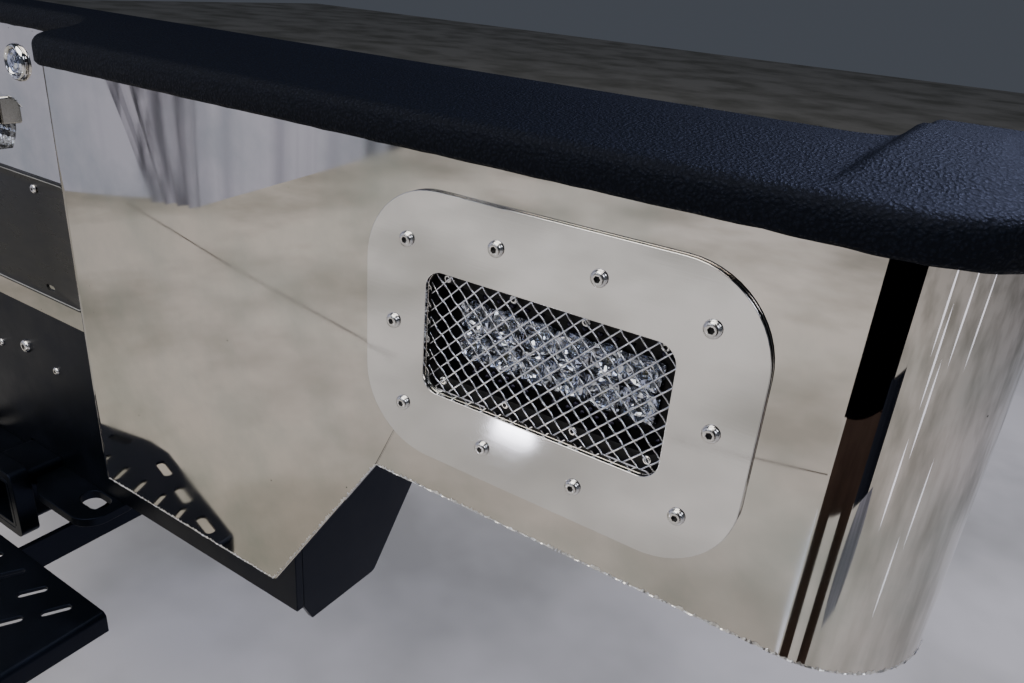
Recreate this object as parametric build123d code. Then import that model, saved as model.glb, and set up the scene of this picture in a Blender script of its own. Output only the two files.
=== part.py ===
from build123d import *
import os

# Rear step bumper of a medium duty truck, in millimetres.
# X runs to the truck's right, Y forward and Z up. The origin is the centre of the four bolts
# that hold the two frame pads on the ends of the frame rails, on the face that meets the rails.

# Main planes, from which the pieces take their places
face_y = -300.0                      # outer face of the polished wings
lamp_z = 180.0                       # centres of the two work lamps
seat_gap = 0.3                       # left between two pieces that sit on each other

# Polished wings, one bent sheet each
sheet = 4.0
recess_half = 268.0                  # centre line to the outside of a wing's inner return
end_half = 1053.0                    # centre line to the side of the wing
inner_bend = 20.0
wrap_radius = 70.0
side_length = 250.0                  # from the face to the end of the side
wing_bottom_z = lamp_z - 128.0
wing_drop = 308.0
drop_bottom_z = lamp_z - wing_drop
lamp_from_end = 249.0                # from the wing's side to the lamp's centre
drop_end_x = 547.0
notch_x = 670.0
cut_corner = 6.0

# Step pad over the whole width: a shell with a lip, rising forward to a flat deck that keeps
# clear of the body, with a raised corner at each end
lip_bottom_z = lamp_z + 119.0
centre_lip_bottom_z = lamp_z + 133.0
cap_top_z = lamp_z + 155.0
cap_skin = 6.0
lip = 5.0
lip_round = 9.0
cap_inner_round = 24.0
cap_valley_round = 48.0
cap_front_round = 12.0
crest_past_panel = 5.0               # from the centre panel to where the rear slope meets the flat deck
deck_rise = 12.0
crest_round = 100.0
deck_depth = 130.0
body_from_end = 96.0                 # from the wing's side to the side of the body that the pad goes round
body_round = 30.0
mound_set_in = 6.0
mound_levels = [  # height over the deck, inset from the body's side, from behind, from the end, from the front
    (-13.0, -13.0, 0.0, 0.0, 0.0, 64.0),
    (1.0, 0.0, 44.0, 22.0, 60.0, 26.0),
    (8.5, 9.0, 105.0, 40.0, 105.0, 6.0),
]

# Centre panel in the recess
panel_set_back = 75.0
panel_y = face_y + panel_set_back
panel_thick = 4.0
panel_bottom_z = lamp_z - 204.0

# Work lamp: cover plate, woven grille and two rows of lenses
cover_width = 281.0
cover_height = 194.0
cover_thick = 3.0
cover_round = 57.0
window_width = 178.0
window_height = 89.0
window_round = 13.0
bolt_hole = 6.4
cover_bolts = [  # columns: x and z from the cover's centre
    (105.5, 61.1), (35.6, 71.3), (-35.6, 71.3), (-105.5, 61.1), (-115.7, 0.0),
    (-105.5, -61.1), (-35.6, -71.3), (35.6, -71.3), (105.5, -61.1), (115.7, 0.0),
]
grille_mesh = 12.4                   # corner to corner of one diamond
grille_wire = 1.2
grille_crimp = 0.4                   # how far crossing wires sink into each other
grille_columns = 15
grille_rows = 7.5
lamp_width = 184.0
lamp_height = 92.0
lamp_depth = 56.0
lamp_round = 8.0
lamp_face_depth = 4.0                # from the housing's face to the optics
lamp_screws = [(26.0, 38.0), (78.0, 38.0)]   # x and z from the lamp's centre, mirrored both ways
screw_seat_radius = 3.0
screw_seat_depth = 1.5
lens_columns = 5
lens_pitch_x = 29.6
lens_pitch_z = 19.6
lens_wall = 1.0                      # between two cups
cup_depth = 13.0
cup_floor = 9.0
fin_count = 11
fin_depth = 26.0
bracket_width = 92.0
bracket_thick = 5.0
bracket_drop = 8.0

# Registration plate and the lamps round it
plate_width = 305.0
plate_height = 152.0
plate_thick = 1.5
plate_centre_z = lamp_z - 102.0
plate_round = 9.0
plate_slot_x = 89.0
plate_slot_z = 60.3
plate_slot = (18.0, 7.0)
round_lamp_x = 97.0
round_lamp_z = lamp_z + 96.0
round_lamp_radius = 24.0
round_lamp_height = 11.0
round_lamp_wall = 5.0
round_lamp_chamfer = 3.0
hood_width = 164.0
hood_height = 32.0
hood_depth = 40.0
hood_round = 16.0
hood_bottom_z = lamp_z + 27.0
hood_wall = 2.5
plate_lens_width = 140.0
plate_lens_height = 34.0
plate_lens_depth = 26.0
plate_lens_foot = 15.0

# Hitch: cross plate, side plates, cross tube, receiver and chain ears
hitch_half = 490.0
hitch_thick = 10.0
hitch_drop = 437.0
hitch_bottom_z = lamp_z - hitch_drop
hitch_bolts = [(-65.0, -283.0, 7.0), (0.0, -268.0, 11.0), (65.0, -283.0, 7.0)]  # x, z from the lamps, radius
side_thick = 8.0
side_corner = 12.0
side_round = 10.0
receiver_drop = 462.0
side_bottom_z = lamp_z - receiver_drop
side_chamfer_y = face_y + 200.0
side_chamfer_drop = 352.0
side_chamfer_z = lamp_z - side_chamfer_drop
cross_tube = 76.0
tube_wall = 6.0
tube_round = 9.0
cross_tube_y = face_y + 112.0
receiver = 76.0
receiver_bore = 63.5
receiver_z = lamp_z - receiver_drop
receiver_rear_y = face_y + 2.0
receiver_length = 286.0
receiver_round = 8.0
pin_radius = 8.0
pin_from_mouth = 62.0
collar = 100.0
collar_length = 24.0
collar_round = 12.0
ear_reach = 178.0
ear_thick = 12.0
ear_rear_y = face_y + 20.0
ear_front_y = face_y + 104.0
ear_slot = (46.0, 27.0)
ear_slot_x = 140.0
ear_slot_from_rear = 38.0
ear_root_set_back = 18.0
ear_round = 30.0

# Step under the recess, with its two arms
step_half = 273.0
step_inner_y = face_y - 20.0
step_corner_y = face_y - 161.0
step_peak_y = face_y - 219.0
step_peak_half = 25.0
step_below_receiver = 31.0
step_top_z = receiver_z - step_below_receiver
step_thick = 5.0
step_flange = 28.0
step_bend = 7.0
step_corner_round = 14.0
step_peak_round = 20.0
slot_pitch = 50.0
slot_rows = [(-52.0, 25.0, 5), (-95.0, 0.0, 5), (-138.0, 25.0, 4)]  # y from the face, first x, count each side
slot_size = (32.0, 9.0)
slot_lean = 62.0
edge_slot_x = (61.0, 140.0, 222.0)
edge_slot_size = (44.0, 13.0)
edge_slot_inset = 24.0
arm_x = 82.0
arm_thick = 8.0
arm_depth = 42.0
arm_reach = 130.0
arm_round = 14.0
arm_cut = 16.0

# Carrying frame: main beam, ribs to the wings and to the pad, frame pads
beam_from_end = 95.0
beam_height = 120.0
beam_depth = 80.0
beam_wall = 6.0
beam_round = 12.0
rib_thick = 6.0
inner_rib_from_recess = 210.0
outer_rib_from_beam_end = 14.0
rib_above = 30.0
rib_below = 40.0
rib_taper = 12.0
rib_hole = (60.0, 34.0)
cap_rib_x = (-840.0, -420.0, 0.0, 420.0, 840.0)
cap_rib_inset = 6.0
cap_rib_nose = 30.0
pad_inner_from_side = 118.0
pad_thick = 16.0
pad_top_z = 115.0
pad_bottom_z = -120.0
frame_bolt_from_side = 63.0
frame_bolt_z = 70.0
frame_bolt_radius = 10.5
pad_round = 12.0

# Sizes that follow
lamp_x = end_half - lamp_from_end
beam_half = end_half - beam_from_end
cap_overhang = lip + seat_gap
body_half = end_half - body_from_end
deck_crest_y = panel_y + crest_past_panel
deck_front_y = face_y + deck_depth
pad_inner_x = hitch_half - pad_inner_from_side
frame_bolt_x = hitch_half - frame_bolt_from_side
cap_rear_y = face_y - cap_overhang
cap_front_y = face_y + side_length + cap_overhang
cavity_top_z = cap_top_z - cap_skin
wing_top_z = cavity_top_z - deck_rise - seat_gap
centre_lip_y = panel_y - cap_overhang
grille_y = face_y + sheet + 2 * seat_gap
lamp_y = grille_y + 2 * grille_wire - grille_crimp + seat_gap
plate_top_z = plate_centre_z + plate_height / 2
beam_y = panel_y + panel_thick + seat_gap
beam_top_z = lamp_z + beam_height / 2
beam_bottom_z = lamp_z - beam_height / 2
hitch_y = panel_y + seat_gap
hitch_top_z = panel_bottom_z - seat_gap
side_front_y = -pad_thick - seat_gap
receiver_top_z = receiver_z + receiver / 2


def outline(corners):
    """Face through the corners (first axis, second axis, radius), each rounded by its radius."""
    face = make_face(Polyline([(a, b) for a, b, _ in corners], close=True))
    for a, b, radius in corners:
        if radius > 0:
            face = fillet(face.vertices().sort_by_distance((a, b, 0))[0], radius)
    return face


def slab_x(face, x0, x1):
    """Solid between two X places; the face's axes are Y and Z."""
    return extrude(Plane.YZ.offset(x0) * face, amount=x1 - x0)


def slab_y(face, y0, y1):
    """Solid between two Y places; the face's axes are X and Z."""
    return extrude(Plane.XZ.offset(-y1) * face, amount=y1 - y0)


def slab_z(face, z0, z1):
    """Solid between two Z places; the face's axes are X and Y."""
    return extrude(Pos(0, 0, z0) * face, amount=z1 - z0)


def block(x0, x1, y0, y1, z0, z1):
    """Box between two corners."""
    return Pos((x0 + x1) / 2, (y0 + y1) / 2, (z0 + z1) / 2) * Box(x1 - x0, y1 - y0, z1 - z0)


def both_sides(piece):
    """The piece and its mirror image across the truck's centre line."""
    return piece + mirror(piece, about=Plane.YZ)


def shared_edges(some, others):
    """Edges that two faces, or two lists of faces, have in common."""
    return [edge for edge in some.edges() if any(edge.is_same(other) for other in others.edges())]


# Polished wing

def wing_side_view():
    """Outline of a wing from behind: the drop beside the recess, the notch and the end."""
    return outline([
        (recess_half - 1, wing_top_z, 0),
        (recess_half - 1, drop_bottom_z, 0),
        (drop_end_x, drop_bottom_z, cut_corner),
        (notch_x, wing_bottom_z, cut_corner),
        (end_half + 1, wing_bottom_z, 0),
        (end_half + 1, wing_top_z, 0),
    ])


def wing_plan(inset):
    """Plan of a wing, moved inwards by the inset."""
    front_y = face_y + side_length + inset
    return outline([
        (recess_half + inset, front_y, 0),
        (recess_half + inset, face_y + inset, inner_bend - inset),
        (end_half - inset, face_y + inset, wrap_radius - inset),
        (end_half - inset, front_y, 0),
    ])


def lamp_window(margin, y0, y1):
    """Block of the lamp window's shape, larger by the margin on every side."""
    face = RectangleRounded(window_width + 2 * margin, window_height + 2 * margin, window_round + margin)
    return slab_y(Pos(lamp_x, lamp_z) * face, y0, y1)


def wing():
    """Right wing: inner return, face and end wrap of one sheet, with the lamp window cut."""
    shell = slab_z(wing_plan(0), drop_bottom_z, wing_top_z)
    shell -= slab_z(wing_plan(sheet), drop_bottom_z - 1, wing_top_z + 1)
    shell &= slab_y(wing_side_view(), face_y - 1, face_y + side_length)
    shell -= block(recess_half - 1, recess_half + sheet + 1, panel_y - seat_gap, face_y + side_length + 1,
                   drop_bottom_z - 1, wing_top_z + 1)
    return shell - lamp_window(0, face_y - 1, face_y + sheet + 1)


# Work lamp behind the right wing

def cover():
    """Satin cover plate with its window and bolt holes."""
    face = RectangleRounded(cover_width, cover_height, cover_round)
    face -= RectangleRounded(window_width, window_height, window_round)
    for x, z in cover_bolts:
        face -= Pos(x, z) * Circle(bolt_hole / 2)
    rear = face_y - seat_gap
    return slab_y(Pos(lamp_x, lamp_z) * face, rear - cover_thick, rear)


def wire_spans(slope):
    """Ends of the wires that run one way, slope 1 rising to the right, which meet in tips at the lower edge."""
    half_x = grille_columns / 2
    half_z = grille_rows / 2
    spans = []
    reach = int(half_x + half_z) + 1
    for i in range(-reach, reach):
        offset = i + 0.5 + slope * 0.25
        low_x = max(-half_x, -half_z + offset)
        high_x = min(half_x, half_z + offset)
        if high_x - low_x > 0.6:
            low, high = [(x, slope * (x - offset)) for x in (low_x, high_x)]
            spans.append((low, high))
    return spans


def grille():
    """Wire grille: straight wires both ways at 45 degrees, one layer sunk a little into the other."""
    wires = []
    half = grille_wire / 2
    for slope, y in ((1, grille_y + half), (-1, grille_y + 3 * half - grille_crimp)):
        for (x0, z0), (x1, z1) in wire_spans(slope):
            length = (x1 - x0) * grille_mesh * 2 ** 0.5 + grille_wire
            centre = Pos(lamp_x + (x0 + x1) / 2 * grille_mesh, y, lamp_z + (z0 + z1) / 2 * grille_mesh)
            wires.append(centre * Rot(0, -45 * slope, 0) * Box(length, grille_wire, grille_wire))
    return wires[0].fuse(*wires[1:])


def lens_places():
    """Centres of the lamp's cups, in two rows."""
    first = -(lens_columns - 1) / 2 * lens_pitch_x
    return [(first + i * lens_pitch_x, side * lens_pitch_z / 2) for side in (-1, 1) for i in range(lens_columns)]


def cup(x, z, gap):
    """Tapered cup, or the optic that fills it with a gap all round."""
    width = lens_pitch_x - lens_wall - 2 * gap
    height = lens_pitch_z - lens_wall - 2 * gap
    floor = cup_floor - 2 * gap
    front = Plane((lamp_x + x, lamp_y + lamp_face_depth + gap, lamp_z + z), x_dir=(1, 0, 0), z_dir=(0, -1, 0))
    rear = front.offset(2 * gap - cup_depth)
    return loft([front * Rectangle(width, height), rear * Rectangle(floor, floor)], ruled=True)


def lamp_body():
    """Lamp housing: set-back optics in two rows of cups, eight screw seats and cooling fins behind."""
    rear_y = lamp_y + lamp_depth
    body = slab_y(Pos(lamp_x, lamp_z) * RectangleRounded(lamp_width, lamp_height, lamp_round), lamp_y, rear_y)
    zone = Rectangle(lens_columns * lens_pitch_x, 2 * lens_pitch_z)
    body -= slab_y(Pos(lamp_x, lamp_z) * zone, lamp_y - 1, lamp_y + lamp_face_depth)
    for x, z in lens_places():
        body -= cup(x, z, 0)
    for x, z in lamp_screws:
        for side_x, side_z in ((1, 1), (-1, 1), (1, -1), (-1, -1)):
            seat = Pos(lamp_x + side_x * x, lamp_z + side_z * z) * Circle(screw_seat_radius)
            body -= slab_y(seat, lamp_y - 1, lamp_y + screw_seat_depth)
    fin_pitch = lamp_width / fin_count
    for i in range(fin_count - 1):
        x = lamp_x - lamp_width / 2 + (i + 1) * fin_pitch
        body -= block(x - fin_pitch / 4, x + fin_pitch / 4, rear_y - fin_depth, rear_y + 1,
                      lamp_z - lamp_height, lamp_z + lamp_height)
    return body


def lamp_lenses():
    """Clear optic in each cup."""
    return Compound(children=[cup(x, z, seat_gap) for x, z in lens_places()])


def lamp_bracket():
    """Angle that carries the lamp on the front of the main beam."""
    x0 = lamp_x - bracket_width / 2
    x1 = lamp_x + bracket_width / 2
    low = lamp_z - lamp_height / 2 - seat_gap
    rear = beam_y - seat_gap
    leg = block(x0, x1, lamp_y + bracket_thick, rear, low - bracket_thick, low)
    return leg + block(x0, x1, rear - bracket_thick, rear, low - bracket_thick - bracket_drop, low)


# Step pad

def cap_plan(inset):
    """Plan of the step pad, moved inwards by the inset: wings' ends, set-back centre, body's clearance."""
    end = end_half + cap_overhang - inset
    rear = cap_rear_y + inset
    inner = recess_half - cap_overhang + inset
    body = body_half + inset
    front = cap_front_y - inset
    half = [
        (body, deck_front_y - inset, body_round + inset),
        (body, front, cap_front_round - inset),
        (end, front, 0),
        (end, rear, wrap_radius + cap_overhang - inset),
        (inner, rear, cap_inner_round - inset),
        (inner, centre_lip_y + inset, cap_valley_round + inset),
    ]
    return outline(half + [(-x, y, radius) for x, y, radius in reversed(half)])


def over_deck(drop):
    """Wedge over the pad's rear slope, moved down by the drop."""
    half = end_half + 2 * cap_overhang
    fall = deck_rise / (deck_crest_y - cap_rear_y)
    rear = cap_rear_y - lip
    crest_z = cap_top_z - drop
    return slab_x(outline([
        (rear, crest_z - fall * (deck_crest_y - rear), 0),
        (deck_crest_y, crest_z, 0),
        (deck_crest_y, crest_z + lip, 0),
        (rear, crest_z + lip, 0),
    ]), -half, half)


def mound():
    """Raised corner at the right end of the pad, with a broad slope behind and a short one to the deck."""
    outer = end_half + cap_overhang - mound_set_in
    rear = cap_rear_y + mound_set_in
    front = cap_front_y - mound_set_in

    def level(height, from_body, from_rear, from_end, from_front, corner):
        side = body_half + from_body
        return Pos(0, 0, cap_top_z + height) * outline([
            (outer - from_end, front - from_front, mound_set_in),
            (outer - from_end, rear + from_rear, corner),
            (side, rear + from_rear, mound_set_in),
            (side, front - from_front, mound_set_in),
        ])
    return loft([level(*values) for values in mound_levels], ruled=True)


def cap():
    """Step pad: rounded shell, open below, sloping up to its deck, with a raised corner at each end."""
    solid = slab_z(cap_plan(0), lip_bottom_z, cap_top_z) - over_deck(0)
    slope, deck = solid.faces().filter_by(lambda f: f.normal_at().Z > 0.9)
    solid = fillet(shared_edges(slope, deck), crest_round)
    upper = solid.faces().filter_by(lambda f: f.normal_at().Z > 0.9)
    walls = solid.faces().filter_by(lambda f: abs(f.normal_at().Z) < 0.1)
    solid = fillet(shared_edges(upper, walls), lip_round) + both_sides(mound())
    solid -= slab_z(cap_plan(lip), lip_bottom_z - 1, cavity_top_z) - over_deck(cap_skin)
    short = recess_half - cap_overhang - cap_valley_round
    return solid - block(-short, short, centre_lip_y - 1, panel_y, lip_bottom_z - 1, centre_lip_bottom_z)


# Centre panel and what it carries

def panel():
    """Polished panel of the recess, between the inner returns of the wings."""
    half = recess_half + sheet
    return block(-half, half, panel_y, panel_y + panel_thick, panel_bottom_z, wing_top_z)


def registration_plate():
    """Blank plate with four slots."""
    face = RectangleRounded(plate_width, plate_height, plate_round)
    for x in (-plate_slot_x, plate_slot_x):
        for z in (-plate_slot_z, plate_slot_z):
            face -= Pos(x, z) * SlotOverall(*plate_slot)
    front = panel_y - seat_gap
    return slab_y(Pos(0, plate_centre_z) * face, front - plate_thick, front)


def on_panel(piece):
    """Turns a piece made along Z to stand out of the panel at the right round lamp's place."""
    return Pos(round_lamp_x, panel_y - seat_gap, round_lamp_z) * Rot(90, 0, 0) * piece


def round_lamp_bezel():
    """Ring of the right round lamp, chamfered outside and open for its lens."""
    inner = round_lamp_radius - round_lamp_wall
    profile = Polyline([
        (inner, 0),
        (round_lamp_radius, 0),
        (round_lamp_radius, round_lamp_height - round_lamp_chamfer),
        (round_lamp_radius - round_lamp_chamfer, round_lamp_height),
        (inner, round_lamp_height),
    ], close=True)
    return on_panel(revolve(Plane.XZ * make_face(profile), Axis.Z))


def round_lamp_lens():
    """Clear lens inside the right ring, bevelled at its rim."""
    radius = round_lamp_radius - round_lamp_wall - seat_gap
    low = round_lamp_height - round_lamp_chamfer
    body = Pos(0, 0, low / 2) * Cylinder(radius, low)
    bevel = Pos(0, 0, low + round_lamp_chamfer / 2) * Cone(radius, radius * 0.7, round_lamp_chamfer)
    return on_panel(body + bevel)


def hood_side(inset, drop):
    """Side view of the plate lamp's hood, moved inwards by the inset and down by the drop."""
    rear = panel_y - seat_gap - inset
    back = rear - hood_depth + 2 * inset
    low = hood_bottom_z - drop
    top = hood_bottom_z + hood_height - inset
    return outline([
        (rear, low, 0),
        (back, low, 0),
        (back, top, hood_round - inset),
        (rear, top, 0),
    ])


def plate_lamp_hood():
    """Chrome hood above the plate, rounded at its upper rear edge and open below."""
    half = hood_width / 2
    body = slab_x(hood_side(0, 0), -half, half)
    return body - slab_x(hood_side(hood_wall, 1), hood_wall - half, half - hood_wall)


def plate_lamp_lens():
    """Clear ribbed lens under the hood."""
    rear = panel_y - seat_gap
    top = hood_bottom_z - seat_gap
    low = top - plate_lens_height
    side = outline([
        (rear, low, 0),
        (rear - plate_lens_foot, low, 0),
        (rear - plate_lens_depth, top, 0),
        (rear, top, 0),
    ])
    return slab_x(side, -plate_lens_width / 2, plate_lens_width / 2)


# Hitch

def hitch_plate():
    """Black cross plate below the panel, notched for the receiver."""
    plate = block(-hitch_half, hitch_half, hitch_y, hitch_y + hitch_thick, hitch_bottom_z, hitch_top_z)
    notch = receiver / 2 + seat_gap
    plate -= block(-notch, notch, hitch_y - 1, hitch_y + hitch_thick + 1, hitch_bottom_z - 1,
                   receiver_top_z + seat_gap)
    for x, z, radius in hitch_bolts:
        place = Pos(x, hitch_y + hitch_thick / 2, lamp_z + z) * Rot(90, 0, 0)
        plate -= place * Cylinder(radius * 0.55, hitch_thick + 2)
    return plate


def hitch_side():
    """Right side plate from the cross plate to the frame pad, cut away at its lower front."""
    rear = hitch_y + hitch_thick + seat_gap
    side = outline([
        (rear, beam_bottom_z - seat_gap, 0),
        (rear, hitch_bottom_z, 0),
        (rear + side_corner, side_bottom_z, 0),
        (side_chamfer_y, side_bottom_z, side_round),
        (side_front_y, side_chamfer_z, side_round),
        (side_front_y, beam_bottom_z - seat_gap, 0),
    ])
    return slab_x(side, hitch_half - side_thick, hitch_half)


def square_tube(side, wall, round_radius):
    """Section of a square tube."""
    return RectangleRounded(side, side, round_radius) - RectangleRounded(
        side - 2 * wall, side - 2 * wall, max(round_radius - wall, 1))


def hitch_cross_tube():
    """Tube between the side plates, above the receiver."""
    half = hitch_half - side_thick - seat_gap
    centre_z = receiver_top_z + seat_gap + cross_tube / 2
    section = Pos(cross_tube_y + cross_tube / 2, centre_z) * square_tube(cross_tube, tube_wall, tube_round)
    return slab_x(section, -half, half)


def receiver_tube():
    """Receiver, open at its rear end, with the cross hole for the hitch pin."""
    wall = (receiver - receiver_bore) / 2
    tube = slab_y(Pos(0, receiver_z) * square_tube(receiver, wall, receiver_round), receiver_rear_y,
                  receiver_rear_y + receiver_length)
    pin = Pos(0, receiver_rear_y + pin_from_mouth, receiver_z) * Rot(0, 90, 0)
    pin *= Cylinder(pin_radius, receiver + 2)
    return tube - pin


def receiver_collar():
    """Reinforcing collar round the receiver's mouth."""
    inner = receiver + 2 * seat_gap
    face = RectangleRounded(collar, collar, collar_round) - RectangleRounded(inner, inner, receiver_round)
    return slab_y(Pos(0, receiver_z) * face, receiver_rear_y, receiver_rear_y + collar_length)


def chain_ear():
    """Right safety chain ear with its slot, against the receiver's side."""
    inner = receiver / 2 + seat_gap
    face = outline([
        (inner, ear_rear_y + ear_root_set_back, 0),
        (inner + ear_root_set_back * 2, ear_rear_y, ear_round),
        (ear_reach, ear_rear_y, ear_round),
        (ear_reach, ear_front_y, ear_round),
        (inner, ear_front_y, 0),
    ])
    face -= Pos(ear_slot_x, ear_rear_y + ear_slot_from_rear) * SlotOverall(*ear_slot)
    top = hitch_bottom_z - seat_gap
    return slab_z(face, top - ear_thick, top)


# Step

def step_plan(inset):
    """Plan of the step, moved inwards by the inset at its ends and its rear edge."""
    half = [
        (step_half - inset, step_inner_y, 0),
        (step_half - inset, step_corner_y + inset, step_corner_round - inset),
        (step_peak_half, step_peak_y + inset, step_peak_round),
    ]
    return outline(half + [(-x, y, radius) for x, y, radius in reversed(half)])


def step_slots():
    """Slots of the step's right half, as a list of faces."""
    slots = []
    for y, first_x, count in slot_rows:
        for i in range(count):
            x = first_x + i * slot_pitch
            slots.append(Pos(x, face_y + y) * Rot(0, 0, slot_lean) * SlotOverall(*slot_size))
            if x > 0:
                slots.append(Pos(-x, face_y + y) * Rot(0, 0, slot_lean) * SlotOverall(*slot_size))
    rise = (step_corner_y - step_peak_y) / (step_half - step_peak_half)
    lean = Vector(1, rise).get_angle(Vector(1, 0))
    for x in edge_slot_x:
        y = step_peak_y + (x - step_peak_half) * rise + edge_slot_inset
        slots.append(Pos(x, y) * Rot(0, 0, lean) * SlotOverall(*edge_slot_size))
        slots.append(Pos(-x, y) * Rot(0, 0, -lean) * SlotOverall(*edge_slot_size))
    return slots


def step():
    """Perforated step plate with its ends and rear edge bent down."""
    low = step_top_z - step_flange
    body = slab_z(step_plan(0), low, step_top_z)
    top_edges = body.edges().group_by(Axis.Z)[-1].filter_by(lambda e: e.center().Y < step_inner_y - 1)
    body = fillet(top_edges, step_bend)
    hollow = slab_z(step_plan(step_thick), low - 1, step_top_z - step_thick)
    open_front = block(-step_half + step_thick, step_half - step_thick, step_inner_y - 1, step_inner_y + 1,
                       low - 1, step_top_z - step_thick)
    body = body - hollow - open_front
    for slot in step_slots():
        body -= slab_z(slot, step_top_z - step_thick - 1, step_top_z + 1)
    return body


def step_arm():
    """Right arm: down from the cross tube and back under the step plate."""
    top = step_top_z - step_thick - seat_gap
    low = top - arm_depth
    front = cross_tube_y + cross_tube
    side = outline([
        (cross_tube_y, receiver_top_z, 0),
        (cross_tube_y, top, arm_round),
        (face_y - arm_reach, top, 0),
        (face_y - arm_reach, low + arm_depth / 2, 0),
        (face_y - arm_reach + arm_depth, low, arm_round),
        (front - arm_cut, low, 0),
        (front, low + arm_cut, 0),
        (front, receiver_top_z, 0),
    ])
    return slab_x(side, arm_x - arm_thick / 2, arm_x + arm_thick / 2)


# Carrying frame

def main_beam():
    """Rectangular tube behind the panel and the lamps."""
    outer = RectangleRounded(beam_depth, beam_height, beam_round)
    inner = RectangleRounded(beam_depth - 2 * beam_wall, beam_height - 2 * beam_wall, beam_round - beam_wall)
    section = Pos(beam_y + beam_depth / 2, lamp_z) * (outer - inner)
    return slab_x(section, -beam_half, beam_half)


def wing_ribs():
    """Ribs between the right wing and the beam, one beside the recess and one near the end."""
    ribs = []
    rear = face_y + sheet + seat_gap
    front = beam_y - seat_gap
    for x in (recess_half + inner_rib_from_recess, beam_half - outer_rib_from_beam_end):
        rib = outline([
            (rear, beam_bottom_z - rib_below, 0),
            (rear, beam_top_z + rib_above, 0),
            (front, beam_top_z - rib_taper, 0),
            (front, beam_bottom_z + rib_taper, 0),
        ])
        hole = Pos((rear + front) / 2, lamp_z) * SlotOverall(*rib_hole, rotation=90)
        ribs.append(slab_x(rib - hole, x, x + rib_thick))
    return Compound(children=ribs)


def cap_ribs():
    """Uprights between the beam and the step pad."""
    ribs = []
    rear = beam_y + cap_rib_inset
    front = deck_front_y - lip - seat_gap
    low = beam_top_z + seat_gap
    top = cavity_top_z - seat_gap
    for x in cap_rib_x:
        rib = outline([
            (rear, low, 0),
            (beam_y + beam_depth - cap_rib_inset, low, 0),
            (front, top - cap_rib_nose, 0),
            (front, top, 0),
            (rear, top, 0),
        ])
        ribs.append(slab_x(rib, x - rib_thick / 2, x + rib_thick / 2))
    return Compound(children=ribs)


def frame_pad():
    """Right pad that bolts to the end of the frame rail, inside the side plate."""
    outer = hitch_half - side_thick - seat_gap
    face = outline([
        (pad_inner_x, pad_bottom_z, pad_round),
        (outer, pad_bottom_z, 0),
        (outer, pad_top_z, 0),
        (pad_inner_x, pad_top_z, pad_round),
    ])
    for z in (-frame_bolt_z, frame_bolt_z):
        face -= Pos(frame_bolt_x, z) * Circle(frame_bolt_radius)
    return slab_y(face, -pad_thick, 0)


sided = {
    "wing": wing,
    "lamp_cover": cover,
    "lamp_grille": grille,
    "lamp_body": lamp_body,
    "lamp_lenses": lamp_lenses,
    "lamp_bracket": lamp_bracket,
    "round_lamp_bezel": round_lamp_bezel,
    "round_lamp_lens": round_lamp_lens,
    "hitch_side": hitch_side,
    "chain_ear": chain_ear,
    "step_arm": step_arm,
    "wing_ribs": wing_ribs,
    "frame_pad": frame_pad,
}
central = {
    "step_pad": cap,
    "centre_panel": panel,
    "registration_plate": registration_plate,
    "plate_lamp_hood": plate_lamp_hood,
    "plate_lamp_lens": plate_lamp_lens,
    "hitch_plate": hitch_plate,
    "hitch_cross_tube": hitch_cross_tube,
    "receiver_tube": receiver_tube,
    "receiver_collar": receiver_collar,
    "step_plate": step,
    "main_beam": main_beam,
    "cap_ribs": cap_ribs,
}

os.makedirs("parts", exist_ok=True)
for name, make in sided.items():
    right = make()
    export_step(right, f"parts/{name}_right.step")
    export_step(mirror(right, about=Plane.YZ), f"parts/{name}_left.step")
for name, make in central.items():
    export_step(make(), f"parts/{name}.step")
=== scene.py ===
"""Rear step bumper of a medium duty truck: finishes, fine pieces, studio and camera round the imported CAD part."""

import logging
import math
import random
from dataclasses import dataclass, field
from enum import Enum
from functools import partial
from typing import Callable, Dict, Iterable, List, Sequence, Tuple

import bmesh
import bpy
from mathutils import Matrix, Vector, noise


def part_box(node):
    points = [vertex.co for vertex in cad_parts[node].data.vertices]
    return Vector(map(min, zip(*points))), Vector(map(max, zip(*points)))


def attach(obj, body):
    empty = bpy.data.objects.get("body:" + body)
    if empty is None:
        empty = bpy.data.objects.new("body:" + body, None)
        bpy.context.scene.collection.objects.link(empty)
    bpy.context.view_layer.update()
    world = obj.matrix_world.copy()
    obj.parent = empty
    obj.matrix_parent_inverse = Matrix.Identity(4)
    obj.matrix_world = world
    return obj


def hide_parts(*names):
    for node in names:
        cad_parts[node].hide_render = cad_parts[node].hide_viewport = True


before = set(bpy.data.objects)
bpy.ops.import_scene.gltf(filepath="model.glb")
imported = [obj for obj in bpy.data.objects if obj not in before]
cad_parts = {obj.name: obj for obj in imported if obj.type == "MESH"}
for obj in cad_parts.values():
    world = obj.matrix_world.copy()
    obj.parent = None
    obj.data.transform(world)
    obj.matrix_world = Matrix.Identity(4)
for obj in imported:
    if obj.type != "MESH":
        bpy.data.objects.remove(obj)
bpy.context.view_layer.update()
LOG = logging.getLogger("bumper")
MM = 0.001
BODY = "root"
FLOOR_Z = -0.720                     # the ground under a truck of this ride height
SAME = 1e-6                          # points closer than this are one
REARWARD = Vector((0, -1, 0))
FOUR_WAYS = ((-1, -1), (1, -1), (1, 1), (-1, 1))

Mesh = bmesh.types.BMesh
Vert = bmesh.types.BMVert
Edge = bmesh.types.BMEdge
Face = bmesh.types.BMFace
Piece = bpy.types.Object
Socket = bpy.types.NodeSocket
Add = Callable[..., Socket]
Inputs = Dict[str, object]
Pair = Tuple[float, float]
Triple = Tuple[float, float, float]
Corner = Triple                      # first axis, second axis and radius, in metres


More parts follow.
